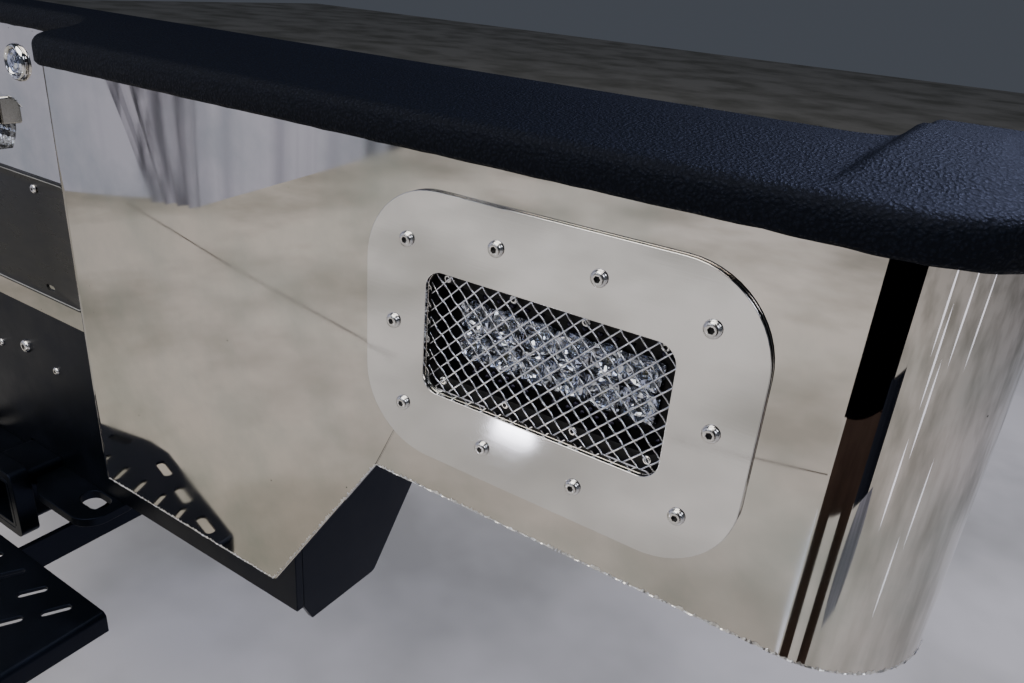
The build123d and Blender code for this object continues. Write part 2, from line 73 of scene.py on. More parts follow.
class Side(Enum):
    """Side of the truck that a mirrored piece belongs to."""

    RIGHT = 1
    LEFT = -1

    @property
    def tag(self) -> str:
        """Ending of the CAD nodes of this side."""
        return self.name.lower()


class Facing(Enum):
    """Plane in which an outline is drawn, as the numbers of its two axes."""

    REAR = (0, 2)                    # x to the right and z up, looking from behind
    TOP = (0, 1)                     # x to the right and y forward, looking from above
    SIDE = (1, 2)                    # y forward and z up, looking from the right

    def point(self, a: float, b: float) -> Vector:
        """Point of an outline, on the plane through the origin."""
        return Vector([{self.value[0]: a, self.value[1]: b}.get(axis, 0.0) for axis in range(3)])


# Colours, nodes and materials


def linear(code: str) -> Tuple[float, float, float, float]:
    """Turns an sRGB hex colour into linear light.

    Args:
        code: six hex digits.

    Returns:
        Linear red, green and blue, and 1 for alpha.
    """
    parts = [int(code[i:i + 2], 16) / 255 for i in (0, 2, 4)]
    turned = [p / 12.92 if p <= 0.04045 else ((p + 0.055) / 1.055) ** 2.4 for p in parts]
    return (turned[0], turned[1], turned[2], 1.0)


def per_mm(size: float) -> float:
    """Scale of a pattern on Object coordinates whose features are this many millimetres wide."""
    return 1000.0 / size


def feed(target: Socket, value: object) -> None:
    """Links a socket to an input, or sets the input's own value.

    Args:
        target: the input.
        value: an output socket, a number or a colour.
    """
    if isinstance(value, Socket):
        target.id_data.links.new(value, target)
    else:
        target.default_value = value


def add_node(tree: bpy.types.NodeTree, kind: str, *inputs: object, out: int = 0, **settings: object) -> Socket:
    """Adds one node with its settings and its incoming links.

    Args:
        tree: node tree that takes the node.
        kind: node type after the prefix ShaderNode.
        inputs: values or sockets for the first inputs that the node has in use, in their order.
        out: number of the wanted output among those in use.
        settings: the node's properties, and values or sockets for further inputs, by name.

    Returns:
        The wanted output.
    """
    node = tree.nodes.new("ShaderNode" + kind)
    for key in [key for key in settings if hasattr(node, key)]:
        setattr(node, key, settings.pop(key))
    for target, value in zip([socket for socket in node.inputs if socket.enabled], inputs):
        feed(target, value)
    for key, value in settings.items():
        feed(node.inputs[key], value)
    return [socket for socket in node.outputs if socket.enabled][out]


def two_tone(add: Add, pattern: Socket, start: float, end: float, first: str, second: str) -> Socket:
    """Goes over from one sRGB colour to another where a pattern rises from start to end.

    Args:
        add: adds a node to the material.
        pattern: values of the pattern.
        start: value up to which the first colour holds.
        end: value from which the second colour holds.
        first: hex colour.
        second: hex colour.

    Returns:
        The colour.
    """
    share = add("MapRange", pattern, start, end)
    return add("Mix", share, linear(first), linear(second), data_type="RGBA")


@dataclass(frozen=True)
class Finish:
    """A surface: its plain name and how it is made, with the nodes that draw it."""

    name: str

    def material(self) -> bpy.types.Material:
        """Makes the finish's material, or finds it again.

        Returns:
            The material.
        """
        known = bpy.data.materials.get(self.name)
        if known is not None:
            return known
        material = bpy.data.materials.new(self.name)
        material.use_nodes = True
        tree = material.node_tree
        add = partial(add_node, tree)
        place = add("TexCoord").node.outputs["Object"]
        for key, value in self.draw(add, place).items():
            feed(tree.nodes["Principled BSDF"].inputs[key], value)
        return material

    def draw(self, add: Add, place: Socket) -> Inputs:
        """Draws the finish.

        Args:
            add: adds a node to the material.
            place: Object coordinates.

        Returns:
            Values and sockets for the shader's inputs, by name.
        """
        raise NotImplementedError


@dataclass(frozen=True)
class PolishedSteel(Finish):
    """Stainless sheet, mirror polished on a wheel: a clear but slightly hazy and wavy mirror, a little warm."""

    name: str = "mirror_polished_stainless"
    colour: str = "DAD4CD"
    smear: str = "BFC1BA"
    dust: str = "2A2622"
    clear: float = 0.008
    hazy: float = 0.07
    grain_rough: float = 0.012
    wave_mm: float = 170.0
    haze_mm: float = 90.0
    grain_mm: float = 2.4
    speck_mm: float = 9.0            # between two specks of dust, if every one showed
    speck_pick: Pair = (0.965, 0.97)  # three or four in a hundred do

    def draw(self, add: Add, place: Socket) -> Inputs:
        """Haze drives roughness and tint, long waves bend the mirror, sparse dust specks sit on it.

        Args:
            add: adds a node to the material.
            place: Object coordinates.

        Returns:
            Values and sockets for the shader's inputs, by name.
        """
        haze = add("TexNoise", place, Scale=per_mm(self.haze_mm), Detail=5.0, Roughness=0.6)
        lines = add("Mapping", place, Scale=(1.0, 1.0, 0.03))
        grain = add("TexNoise", lines, Scale=per_mm(self.grain_mm), Detail=2.0)
        cells = add("TexVoronoi", place, Scale=per_mm(self.speck_mm))
        near = add("MapRange", cells, 0.06, 0.09, 1.0, 0.0)
        pick = add("MapRange", add("SeparateColor", cells.node.outputs["Color"]), *self.speck_pick)
        speck = add("Math", near, pick, operation="MULTIPLY")
        tint = two_tone(add, haze, 0.42, 0.72, self.colour, self.smear)
        rough = add("MapRange", haze, 0.38, 0.75, self.clear, self.hazy)
        wave = add("TexNoise", place, Scale=per_mm(self.wave_mm), Detail=1.0)
        return {
            "Metallic": 1.0,
            "Base Color": add("Mix", speck, tint, linear(self.dust), data_type="RGBA"),
            "Roughness": add("Math", grain, self.grain_rough, rough, operation="MULTIPLY_ADD"),
            "Normal": add("Bump", Strength=0.045, Distance=0.004, Height=wave),
        }


@dataclass(frozen=True)
class SatinSteel(Finish):
    """Stainless plate, buffed but not polished: it blurs what it reflects and shows faint rub marks."""

    name: str = "buffed_stainless_plate"
    colour: str = "E8E7E6"
    dull: str = "DDDCDB"
    rough: Pair = (0.04, 0.095)
    cloud_mm: float = 55.0
    rub_mm: float = 1.6

    def draw(self, add: Add, place: Socket) -> Inputs:
        """Rub marks along the plate and cloudy patches set the roughness.

        Args:
            add: adds a node to the material.
            place: Object coordinates.

        Returns:
            Values and sockets for the shader's inputs, by name.
        """
        cloud = add("TexNoise", place, Scale=per_mm(self.cloud_mm), Detail=4.0)
        along = add("Mapping", place, Scale=(0.04, 1.0, 1.0))
        rubs = add("TexNoise", along, Scale=per_mm(self.rub_mm), Detail=3.0)
        mixed = add("Math", rubs, 0.35, cloud, operation="MULTIPLY_ADD")
        return {
            "Metallic": 1.0,
            "Base Color": two_tone(add, cloud, 0.35, 0.7, self.colour, self.dull),
            "Roughness": add("MapRange", mixed, 0.45, 0.95, *self.rough),
            "Normal": add("Bump", Strength=0.012, Distance=0.0004, Height=rubs),
        }


@dataclass(frozen=True)
class PlainMetal(Finish):
    """A small metal piece, such as a turned screw head, drawn wire or plated trim, with fine handling marks."""

    colour: str
    rough: float
    rough_spread: float
    mark_mm: float = 1.2
    darker: float = 0.82             # of the colour, in the marks

    def draw(self, add: Add, place: Socket) -> Inputs:
        """Small marks break the gloss a little.

        Args:
            add: adds a node to the material.
            place: Object coordinates.

        Returns:
            Values and sockets for the shader's inputs, by name.
        """
        marks = add("TexNoise", place, Scale=per_mm(self.mark_mm), Detail=3.0)
        bright = linear(self.colour)
        dark = tuple(self.darker * part for part in bright[:3]) + (1.0,)
        return {
            "Metallic": 1.0,
            "Base Color": add("Mix", add("MapRange", marks, 0.5, 0.75), bright, dark, data_type="RGBA"),
            "Roughness": add("MapRange", marks, 0.35, 0.7, self.rough, self.rough + self.rough_spread),
        }


@dataclass(frozen=True)
class SprayedLiner(Finish):
    """Sprayed polyurea bed liner: black rubbery skin with pebbles of two or three millimetres that catch light."""

    name: str = "sprayed_bed_liner"
    colour: str = "020408"
    worn: str = "0E121C"
    pebble_mm: float = 2.0
    grit_mm: float = 0.7
    bend_mm: float = 9.0
    bend_by: float = 3 * MM
    rough: Pair = (0.62, 0.34)       # between the pebbles and on their tops

    def draw(self, add: Add, place: Socket) -> Inputs:
        """Pebbles and finer grit give the bump, their tops are a little smoother and greyer.

        Args:
            add: adds a node to the material.
            place: Object coordinates.

        Returns:
            Values and sockets for the shader's inputs, by name.
        """
        warp = add("TexNoise", place, Scale=per_mm(self.bend_mm), Detail=1.0, out=1)
        bent = add("VectorMath", warp, (self.bend_by,) * 3, place, operation="MULTIPLY_ADD")
        pebbles = add("TexVoronoi", bent, feature="SMOOTH_F1", Scale=per_mm(self.pebble_mm), Smoothness=0.6)
        grit = add("TexNoise", place, Scale=per_mm(self.grit_mm), Detail=4.0)
        height = add("Math", grit, 0.5, pebbles, operation="MULTIPLY_ADD")
        tops = add("MapRange", height, 0.25, 0.75, 1.0, 0.0)
        return {
            "Base Color": add("Mix", tops, linear(self.colour), linear(self.worn), data_type="RGBA"),
            "Roughness": add("MapRange", tops, 0.0, 1.0, *self.rough),
            "Normal": add("Bump", Strength=0.62, Distance=0.0011, invert=True, Height=height),
            "Specular IOR Level": 0.17,
            "Specular Tint": linear("CCD6FA"),
        }


@dataclass(frozen=True)
class PowderCoat(Finish):
    """Satin black powder coat on steel: blue-black, with fine orange peel, dust in the open and rubbed patches."""

    name: str = "satin_black_powder_coat"
    colour: str = "030508"
    dusty: str = "0E1119"
    rough: Pair = (0.30, 0.48)
    peel_mm: float = 1.5
    cloud_mm: float = 70.0

    def draw(self, add: Add, place: Socket) -> Inputs:
        """Orange peel bump, with dust and rubs in large soft patches.

        Args:
            add: adds a node to the material.
            place: Object coordinates.

        Returns:
            Values and sockets for the shader's inputs, by name.
        """
        peel = add("TexNoise", place, Scale=per_mm(self.peel_mm), Detail=2.0)
        cloud = add("TexNoise", place, Scale=per_mm(self.cloud_mm), Detail=6.0, Roughness=0.65)
        dust = add("MapRange", cloud, 0.5, 0.85, 0.0, 0.7)
        return {
            "Base Color": add("Mix", dust, linear(self.colour), linear(self.dusty), data_type="RGBA"),
            "Roughness": add("MapRange", cloud, 0.35, 0.75, *self.rough),
            "Normal": add("Bump", Strength=0.25, Distance=0.00035, Height=peel),
            "Specular IOR Level": 0.2,
            "Specular Tint": linear("B0C4FF"),
        }


@dataclass(frozen=True)
class CastBlack(Finish):
    """Black coated cast lamp housing: fine sandy skin with a soft grey gloss."""

    name: str = "black_coated_casting"
    colour: str = "020203"
    rough: float = 0.38
    sand_mm: float = 0.8

    def draw(self, add: Add, place: Socket) -> Inputs:
        """Sandy bump and a small change of tint.

        Args:
            add: adds a node to the material.
            place: Object coordinates.

        Returns:
            Values and sockets for the shader's inputs, by name.
        """
        sand = add("TexNoise", place, Scale=per_mm(self.sand_mm), Detail=3.0)
        return {
            "Base Color": two_tone(add, sand, 0.45, 0.8, self.colour, "07080B"),
            "Roughness": add("MapRange", sand, 0.3, 0.7, self.rough, self.rough + 0.15),
            "Normal": add("Bump", Strength=0.2, Distance=0.0003, Height=sand),
            "Specular IOR Level": 0.25,
        }


@dataclass(frozen=True)
class ClearOptic(Finish):
    """Moulded clear acrylic or polycarbonate: glassy, with a faint cold tint and small flow marks."""

    name: str = "clear_moulded_optic"
    colour: str = "EEF4FA"
    mirror: float = 0.0              # largest share of light thrown back by the facets behind
    ior: float = 1.49
    flow_mm: float = 6.0
    thrown_mm: float = 5.0

    def draw(self, add: Add, place: Socket) -> Inputs:
        """Clear body whose gloss is broken a little by flow marks.

        Args:
            add: adds a node to the material.
            place: Object coordinates.

        Returns:
            Values and sockets for the shader's inputs, by name.
        """
        flow = add("TexNoise", place, Scale=per_mm(self.flow_mm), Detail=2.0)
        inputs = {
            "Base Color": two_tone(add, flow, 0.4, 0.7, self.colour, "DCE6F2"),
            "Roughness": add("MapRange", flow, 0.3, 0.8, 0.01, 0.06),
            "Transmission Weight": 1.0,
            "IOR": self.ior,
        }
        if self.mirror:
            thrown = add("TexNoise", place, Scale=per_mm(self.thrown_mm), Detail=1.0)
            inputs["Metallic"] = add("MapRange", thrown, 0.42, 0.58, 0.1 * self.mirror, self.mirror)
        return inputs


@dataclass(frozen=True)
class Enamel(Finish):
    """Baked enamel on a thin stamped plate: smooth and even, with light scuffs."""

    name: str = "dark_baked_enamel"
    colour: str = "0F1011"
    scuffed: str = "1B1C1F"
    rough: float = 0.24
    scuff_mm: float = 14.0

    def draw(self, add: Add, place: Socket) -> Inputs:
        """Scuffs lighten and dull the enamel in streaks.

        Args:
            add: adds a node to the material.
            place: Object coordinates.

        Returns:
            Values and sockets for the shader's inputs, by name.
        """
        streak = add("Mapping", place, Scale=(0.3, 1.0, 1.0))
        scuffs = add("TexNoise", streak, Scale=per_mm(self.scuff_mm), Detail=5.0)
        return {
            "Base Color": two_tone(add, scuffs, 0.45, 0.8, self.colour, self.scuffed),
            "Roughness": add("MapRange", scuffs, 0.35, 0.8, self.rough, self.rough + 0.2),
            "Specular IOR Level": 0.3,
        }


@dataclass(frozen=True)
class StudioSurface(Finish):
    """Painted studio floor, or a hanging cloth lit from behind: one colour with faint clouds or upright streaks, which
    on the folded cloth are painted shade of its folds.
    """

    colour: str
    cloud: str
    cloud_mm: float
    rough: float = 0.9
    glow: float = 0.0
    stretch: float = 1.0             # of the clouds' scale upwards, small for streaks

    def draw(self, add: Add, place: Socket) -> Inputs:
        """Faint clouds over one colour, with the light that comes through the cloth; on the folded cloth the dark
        streaks are painted shade.

        Args:
            add: adds a node to the material.
            place: Object coordinates.

        Returns:
            Values and sockets for the shader's inputs, by name.
        """
        drawn = add("Mapping", place, Scale=(1.0, 1.0, self.stretch))
        clouds = add("TexNoise", drawn, Scale=per_mm(self.cloud_mm), Detail=4.0, Roughness=0.55)
        tint = two_tone(add, clouds, 0.4, 0.68, self.colour, self.cloud)
        return {"Base Color": tint, "Emission Color": tint, "Emission Strength": self.glow,
                "Specular IOR Level": 0.0, "Roughness": self.rough}


POLISHED = PolishedSteel()
SATIN = SatinSteel()
LINER = SprayedLiner()
POWDER = PowderCoat()
CAST = CastBlack()
OPTIC = ClearOptic()
CRYSTAL = ClearOptic("clear_cut_optic", "E4E8F6", 0.85)
ENAMEL = Enamel()
SCREW_STEEL = PlainMetal("turned_stainless_screw", "E4E3E2", 0.15, 0.12)
WIRE_STEEL = PlainMetal("drawn_stainless_wire", "ECEFF6", 0.13, 0.1)
RAW_EDGE = PlainMetal("raw_cut_stainless_edge", "F0EFEC", 0.22, 0.3, 0.9)
CHROME = PlainMetal("chrome_plate", "DFE0E2", 0.03, 0.05)
STUD = PlainMetal("black_chromed_stud", "3C3A48", 0.16, 0.12)
SOCKET_BLACK = CastBlack("oily_black_socket", "0A0A0B", 0.3)
CHIP = Enamel("phosphor_light_chip", "4A4628", "3C3A24", 0.5)
BORDER = Enamel("pale_enamel_border", "9FA0A0", "8C8D8D", 0.3)
SCREW = (SCREW_STEEL, SOCKET_BLACK)  # the head and the floor of its socket

FLOOR = StudioSurface("pale_studio_floor", "C9C4BC", "9F9C93", 600.0, 0.6)
SEAM = StudioSurface("dark_floor_seam", "5E574D", "6A6358", 400.0, 0.8)
CARD = StudioSurface("black_studio_card", "020203", "040405", 400.0)
# painted light: the brown, blue and grey cards glow by themselves, as if lit, though they are no lamps
BROWN_CARD = StudioSurface("brown_card_painted_glow", "352A22", "483A30", 200.0, glow=0.15)
BLUE_CARD = StudioSurface("blue_card_painted_glow", "191B20", "26292F", 90.0, glow=0.2, stretch=0.05)
GREY_CARD = StudioSurface("grey_card_painted_glow", "8C8C90", "4A4A50", 60.0, glow=0.4, stretch=0.1)
CLOTH = StudioSurface("pale_studio_cloth", "A4A6B4", "8C8E9C", 150.0, glow=0.62, stretch=0.02)
BRIGHT_CLOTH = StudioSurface("bright_studio_cloth", "A4A6B4", "979AA8", 150.0, glow=0.78, stretch=0.02)
# painted shade: the dark upright streaks stand in for the shade in the cloth's folds
FOLDED_CLOTH = StudioSurface("folded_cloth_painted_fold_shade", "A0A1AE", "34353E", 70.0, glow=0.33, stretch=0.02)
DARK_CLOTH = StudioSurface("dark_studio_cloth", "5E5F68", "484952", 200.0, glow=0.25, stretch=0.02)
SOFT_LIGHT = StudioSurface("soft_light_card", "D8DAE4", "B4B6C0", 80.0, glow=0.9, stretch=0.1)
TUBE = StudioSurface("pale_light_tube", "F0F0F8", "E0E2F0", 400.0, glow=1.5)
GLARE = StudioSurface("bright_light_pool", "F6F6FF", "E8E8FA", 400.0, glow=12.0)


# Mesh work


def only(kind: type, items: Iterable[object]) -> list:
    """Members of one kind in what a mesh operator made."""
    return [item for item in items if isinstance(item, kind)]


def edges_at(verts: Iterable[Vert]) -> List[Edge]:
    """Edges that meet at any of some vertices, each once, in a fixed order."""
    return list(dict.fromkeys(edge for vert in verts for edge in vert.link_edges))


def verts_of(edges: Iterable[Edge]) -> List[Vert]:
    """Ends of some edges, each once, in a fixed order."""
    return list(dict.fromkeys(vert for edge in edges for vert in edge.verts))


def take_in(whole: Mesh, part: Mesh) -> None:
    """Adds a mesh to another and frees it.

    Args:
        whole: mesh that grows.
        part: mesh that it takes in.
    """
    held = bpy.data.meshes.new("part")
    part.to_mesh(held)
    part.free()
    whole.from_mesh(held)
    bpy.data.meshes.remove(held)


def join(parts: Iterable[Mesh]) -> Mesh:
    """Joins several meshes into one and frees them.

    Args:
        parts: the meshes.

    Returns:
        The whole.
    """
    whole = bmesh.new()
    for part in parts:
        take_in(whole, part)
    return whole


def rounded_loop(bm: Mesh, corners: Sequence[Corner], facing: Facing, steps: int = 8) -> List[Edge]:
    """Draws a closed outline of straight runs and rounds its corners.

    Args:
        bm: mesh that takes the outline.
        corners: points in order, each with its radius.
        facing: plane of the outline.
        steps: segments of a rounded corner.

    Returns:
        The outline's edges.
    """
    own = bmesh.new()
    verts = [own.verts.new(facing.point(a, b)) for a, b, _ in corners]
    for pair in zip(verts, verts[1:] + verts[:1]):
        own.edges.new(pair)
    for i, (vert, (*here, radius)) in enumerate(zip(verts, corners)):
        if radius <= 0:
            continue
        before = Vector(corners[i - 1][:2]) - Vector(here)
        after = Vector(corners[(i + 1) % len(corners)][:2]) - Vector(here)
        slide = radius / math.tan(before.angle(after) / 2)
        bmesh.ops.bevel(own, geom=[vert], offset=slide, offset_type="OFFSET", affect="VERTICES", segments=steps,
                        profile=0.5, material=-1, clamp_overlap=False)
    known = set(bm.edges)
    take_in(bm, own)
    return [edge for edge in bm.edges if edge not in known]


def rectangle(centre: Vector, width: float, height: float, radius: float) -> List[Corner]:
    """Corners of an upright rectangle, for an outline seen from behind.

    Args:
        centre: its centre.
        width: along x.
        height: along z.
        radius: of its corners.

    Returns:
        Its four corners, in order.
    """
    return [(centre.x + a * width / 2, centre.z + b * height / 2, radius) for a, b in FOUR_WAYS]


def fill(bm: Mesh, edges: Sequence[Edge], normal: Vector) -> List[Face]:
    """Fills one outline and its holes with faces.

    Args:
        bm: mesh that holds the edges.
        edges: the outline's and the holes' edges.
        normal: where the faces look.

    Returns:
        The faces.
    """
    faces = only(Face, bmesh.ops.triangle_fill(bm, use_beauty=True, edges=list(edges), normal=normal)["geom"])
    for face in faces:
        face.normal_update()
        if face.normal.dot(normal) < 0:
            face.normal_flip()
    return faces


def push(bm: Mesh, faces: Sequence[Face], by: Vector) -> None:
    """Extrudes flat faces into a closed solid.

    Args:
        bm: mesh that holds the faces.
        faces: faces of the first end, which stay.
        by: travel of the other end.
    """
    made = bmesh.ops.extrude_face_region(bm, geom=list(faces), use_keep_orig=True)
    bmesh.ops.translate(bm, verts=only(Vert, made["geom"]), vec=by)
    bmesh.ops.recalc_face_normals(bm, faces=bm.faces)


def move(bm: Mesh, by: Sequence[float]) -> Mesh:
    """Moves a whole mesh and returns it."""
    bmesh.ops.translate(bm, verts=bm.verts, vec=Vector(by))
    return bm


def turn(bm: Mesh, degrees: float, axis: str) -> Mesh:
    """Turns a whole mesh about an axis through the origin and returns it."""
    bmesh.ops.rotate(bm, verts=bm.verts, cent=(0, 0, 0), matrix=Matrix.Rotation(math.radians(degrees), 3, axis))
    return bm


def to_side(bm: Mesh, side: Side) -> Mesh:
    """Mirrors a right-hand mesh for the left side, with its faces still outwards.

    Args:
        bm: the right-hand mesh.
        side: where the piece goes.

    Returns:
        The same mesh.
    """
    if side is Side.LEFT:
        bmesh.ops.scale(bm, verts=bm.verts, vec=(-1, 1, 1))
        bmesh.ops.reverse_faces(bm, faces=bm.faces)
    return bm


def slab(bm: Mesh, edges: Sequence[Edge], start: float, depth: float) -> Mesh:
    """Fills an outline seen from behind and makes it a plate.

    Args:
        bm: mesh that holds the outline, at y zero.
        edges: the outline's and the holes' edges.
        start: y of the rear face.
        depth: thickness.

    Returns:
        The same mesh.
    """
    push(bm, fill(bm, edges, REARWARD), Vector((0, depth, 0)))
    return move(bm, (0, start, 0))


def spun(profile: Sequence[Pair], steps: int) -> Mesh:
    """Spins a profile of radius and height about Z.

    Args:
        profile: points from below to above.
        steps: segments of the full turn.

    Returns:
        The surface.
    """
    bm = bmesh.new()
    verts = [bm.verts.new((radius, 0, height)) for radius, height in profile]
    edges = [bm.edges.new(pair) for pair in zip(verts, verts[1:])]
    bmesh.ops.spin(bm, geom=verts + edges, cent=(0, 0, 0), axis=(0, 0, 1), angle=2 * math.pi, steps=steps,
                   use_merge=True)
    return bm


def turned(profile: Sequence[Pair], steps: int) -> Mesh:
    """Spins a profile about Z into a closed solid.

    Args:
        profile: points of radius and height, from the axis at the bottom to the axis at the top, or a ring's.
        steps: segments of the full turn.

    Returns:
        The solid.
    """
    bm = spun(profile, steps)
    bmesh.ops.remove_doubles(bm, verts=bm.verts, dist=1e-7)
    bmesh.ops.recalc_face_normals(bm, faces=bm.faces)
    return bm


def close_back(bm: Mesh, edges: Sequence[Edge], place: Callable[[Vector], Sequence[float]]) -> None:
    """Extrudes an open rim to a back wall and closes it.

    Args:
        bm: mesh that holds the rim.
        edges: the rim.
        place: where a point of the rim goes on the back wall.
    """
    made = bmesh.ops.extrude_edge_only(bm, edges=edges)["geom"]
    for vert in only(Vert, made):
        vert.co = place(vert.co)
    bmesh.ops.contextual_create(bm, geom=only(Edge, made))
    bmesh.ops.recalc_face_normals(bm, faces=bm.faces)


def finish_piece(name: str, bm: Mesh, finishes: Sequence[Finish], replaces: Sequence[str] = (),
                 sharp: float = 35.0) -> Piece:
    """Makes a piece from a mesh, dresses it and lets it ride on the part.

    Args:
        name: the piece's name.
        bm: its mesh, in metres in the row frame; freed here.
        finishes: its surfaces, in the order of its material numbers.
        replaces: CAD nodes that the piece stands for.
        sharp: angle in degrees above which an edge stays sharp.

    Returns:
        The piece's object.
    """
    piece = show(name, bm, finishes)
    piece.data.shade_smooth()
    piece.data.set_sharp_from_angle(angle=math.radians(sharp))
    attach(piece, BODY)
    if replaces:
        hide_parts(*replaces)
    LOG.info("%s: %d faces", name, len(piece.data.polygons))
    return piece


def show(name: str, bm: Mesh, finishes: Sequence[Finish]) -> Piece:
    """Puts a mesh into the scene as an object.

    Args:
        name: the object's name.
        bm: its mesh; freed here.
        finishes: its surfaces, in the order of its material numbers.

    Returns:
        The object.
    """
    mesh = bpy.data.meshes.new(name)
    bm.to_mesh(mesh)
    bm.free()
    for finish in finishes:
        mesh.materials.append(finish.material())
    piece = bpy.data.objects.new(name, mesh)
    bpy.context.scene.collection.objects.link(piece)
    return piece


def soften(piece: Piece, width: float, segments: int = 2, angle: float = 40.0) -> None:
    """Breaks a piece's sharp edges with a small bevel that keeps its flats flat.

    Args:
        piece: the piece.
        width: of the bevel, in metres.
        segments: of the bevel.
        angle: in degrees, above which an edge is broken.
    """
    bevel = piece.modifiers.new("broken_edges", "BEVEL")
    bevel.width = width
    bevel.segments = segments
    bevel.limit_method = "ANGLE"
    bevel.angle_limit = math.radians(angle)
    bevel.harden_normals = True
    bevel.use_clamp_overlap = False


def cad_copy(node: str) -> Mesh:
    """Copies a CAD node's mesh and merges its points.

    Args:
        node: the CAD node, which stays as it is.

    Returns:
        The copy.
    """
    bm = bmesh.new()
    bm.from_mesh(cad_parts[node].data)
    bmesh.ops.remove_doubles(bm, verts=bm.verts, dist=SAME)
    return bm


def right_box(name: str) -> Tuple[Vector, Vector]:
    """Lowest and highest corner of the right-hand CAD node of a pair."""
    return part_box(f"{name}_{Side.RIGHT.tag}")


def rear_centre(low: Vector, high: Vector) -> Vector:
    """Centre of a box's rear face."""
    return Vector(((low.x + high.x) / 2, low.y, (low.z + high.z) / 2))


def dress(node: str, finish: Finish) -> None:
    """Gives a CAD node its finish."""
    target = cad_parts[node]
    target.data.materials.clear()
    target.data.materials.append(finish.material())


# Sub-assemblies


@dataclass
class Wing:
    """Polished drop wing: inner return, face with the lamp window, and end wrap, of one 4 mm sheet."""

    side: Side
    sheet: float = 4 * MM
    inner_bend: float = 20 * MM
    wrap: float = 70 * MM
    cut_corner: float = 6 * MM
    drop_end: float = 547 * MM
    notch: float = 670 * MM
    shallow: float = 180 * MM        # height of the notch above the drop's bottom edge
    window: Triple = (178 * MM, 89 * MM, 13 * MM)
    burr_step: float = 1.4 * MM

    def build(self) -> List[Piece]:
        """Makes the wing's sheet and its raw lower edge."""
        low, high = right_box("wing")
        lamp_low, lamp_high = right_box("lamp_cover")
        lamp = (lamp_low + lamp_high) / 2
        bm = bmesh.new()
        flat_start = low.x + self.inner_bend
        flat_end = high.x - self.wrap
        step = low.z + self.shallow
        outline = [
            (flat_start, high.z, 0), (flat_start, low.z, 0), (self.drop_end, low.z, self.cut_corner),
            (self.notch, step, self.cut_corner), (flat_end, step, 0), (flat_end, high.z, 0),
        ]
        width, height, radius = self.window
        edges = rounded_loop(bm, outline, Facing.REAR)
        edges += rounded_loop(bm, rectangle(lamp, width, height, radius), Facing.REAR)
        fill(bm, edges, REARWARD)
        move(bm, (0, low.y, 0))
        self.bend(bm, flat_end, self.wrap, 1, 32, high.y)
        self.bend(bm, flat_start, self.inner_bend, -1, 12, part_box("centre_panel")[0].y - 0.3 * MM)
        bmesh.ops.remove_doubles(bm, verts=bm.verts, dist=SAME)
        bmesh.ops.recalc_face_normals(bm, faces=bm.faces)
        if sum(face.calc_area() * face.normal.y for face in bm.faces) > 0:
            bmesh.ops.reverse_faces(bm, faces=bm.faces)
        piece = finish_piece(f"polished_wing_{self.side.tag}", to_side(bm, self.side), [POLISHED],
                             [f"wing_{self.side.tag}"])
        wall = piece.modifiers.new("sheet", "SOLIDIFY")
        wall.thickness = self.sheet
        wall.offset = -1.0
        wall.use_even_offset = True
        soften(piece, 0.5 * MM)
        return [piece, self.burr(low, flat_start, flat_end, step)]

    def burr(self, low: Vector, flat_start: float, flat_end: float, step: float) -> Piece:
        """Makes the bright ragged line of the saw-cut lower edge, as a thin ribbon on the sheet.

        Args:
            low: lowest corner of the wing.
            flat_start: where the face starts, along x.
            flat_end: where the wrap starts, along x.
            step: height of the notch.

        Returns:
            The ribbon's object.
        """
        turn_length = self.wrap * math.pi / 2
        corners = [Vector((flat_start, low.z)), Vector((self.drop_end - self.cut_corner * 0.4, low.z)),
                   Vector((self.notch, step)), Vector((flat_end + turn_length, step))]
        lengths = [(b - a).length for a, b in zip(corners, corners[1:])]
        count = int(sum(lengths) / self.burr_step)
        rng = random.Random(17 if self.side is Side.RIGHT else 29)
        bm = bmesh.new()
        bmesh.ops.create_grid(bm, x_segments=count, y_segments=1, size=0.5)
        for vert in bm.verts:
            run = (vert.co.x + 0.5) * sum(lengths)
            leg = 0
            while leg < len(lengths) - 1 and run > lengths[leg]:
                run -= lengths[leg]
                leg += 1
            ahead = (corners[leg + 1] - corners[leg]).normalized()
            across = Vector((-ahead.y, ahead.x))
            off = rng.choice((0.2, 0.5, 0.9, 1.3, 2.2)) * MM if vert.co.y > 0 else -rng.uniform(0.0, 0.4) * MM
            point = corners[leg] + ahead * run + across * off
            angle = max(point.x - flat_end, 0.0) / self.wrap
            radius = self.wrap + 0.15 * MM
            if vert.co.y < 0:
                radius += rng.uniform(0.0, 0.8) * MM
            x = min(point.x, flat_end) + math.sin(angle) * radius
            vert.co = (x, low.y + self.wrap - math.cos(angle) * radius, point.y)
        bmesh.ops.recalc_face_normals(bm, faces=bm.faces)
        return finish_piece(f"raw_edge_{self.side.tag}", to_side(bm, self.side), [RAW_EDGE], (), 5.0)

    def bend(self, bm: Mesh, x: float, radius: float, way: int, steps: int, end_y: float) -> None:
        """Bends the sheet forward at x about an upright axis and runs it on to end_y."""
        edges = [edge for edge in bm.edges if all(abs(vert.co.x - x) < SAME for vert in edge.verts)]
        centre = Vector((x, edges[0].verts[0].co.y + radius, 0))
        made = bmesh.ops.spin(bm, geom=edges, cent=centre, axis=(0, 0, 1), angle=way * math.pi / 2, steps=steps)
        last = only(Edge, made["geom_last"])
        run = bmesh.ops.extrude_edge_only(bm, edges=last)
        verts = only(Vert, run["geom"])
        bmesh.ops.translate(bm, verts=verts, vec=(0, end_y - verts[0].co.y, 0))


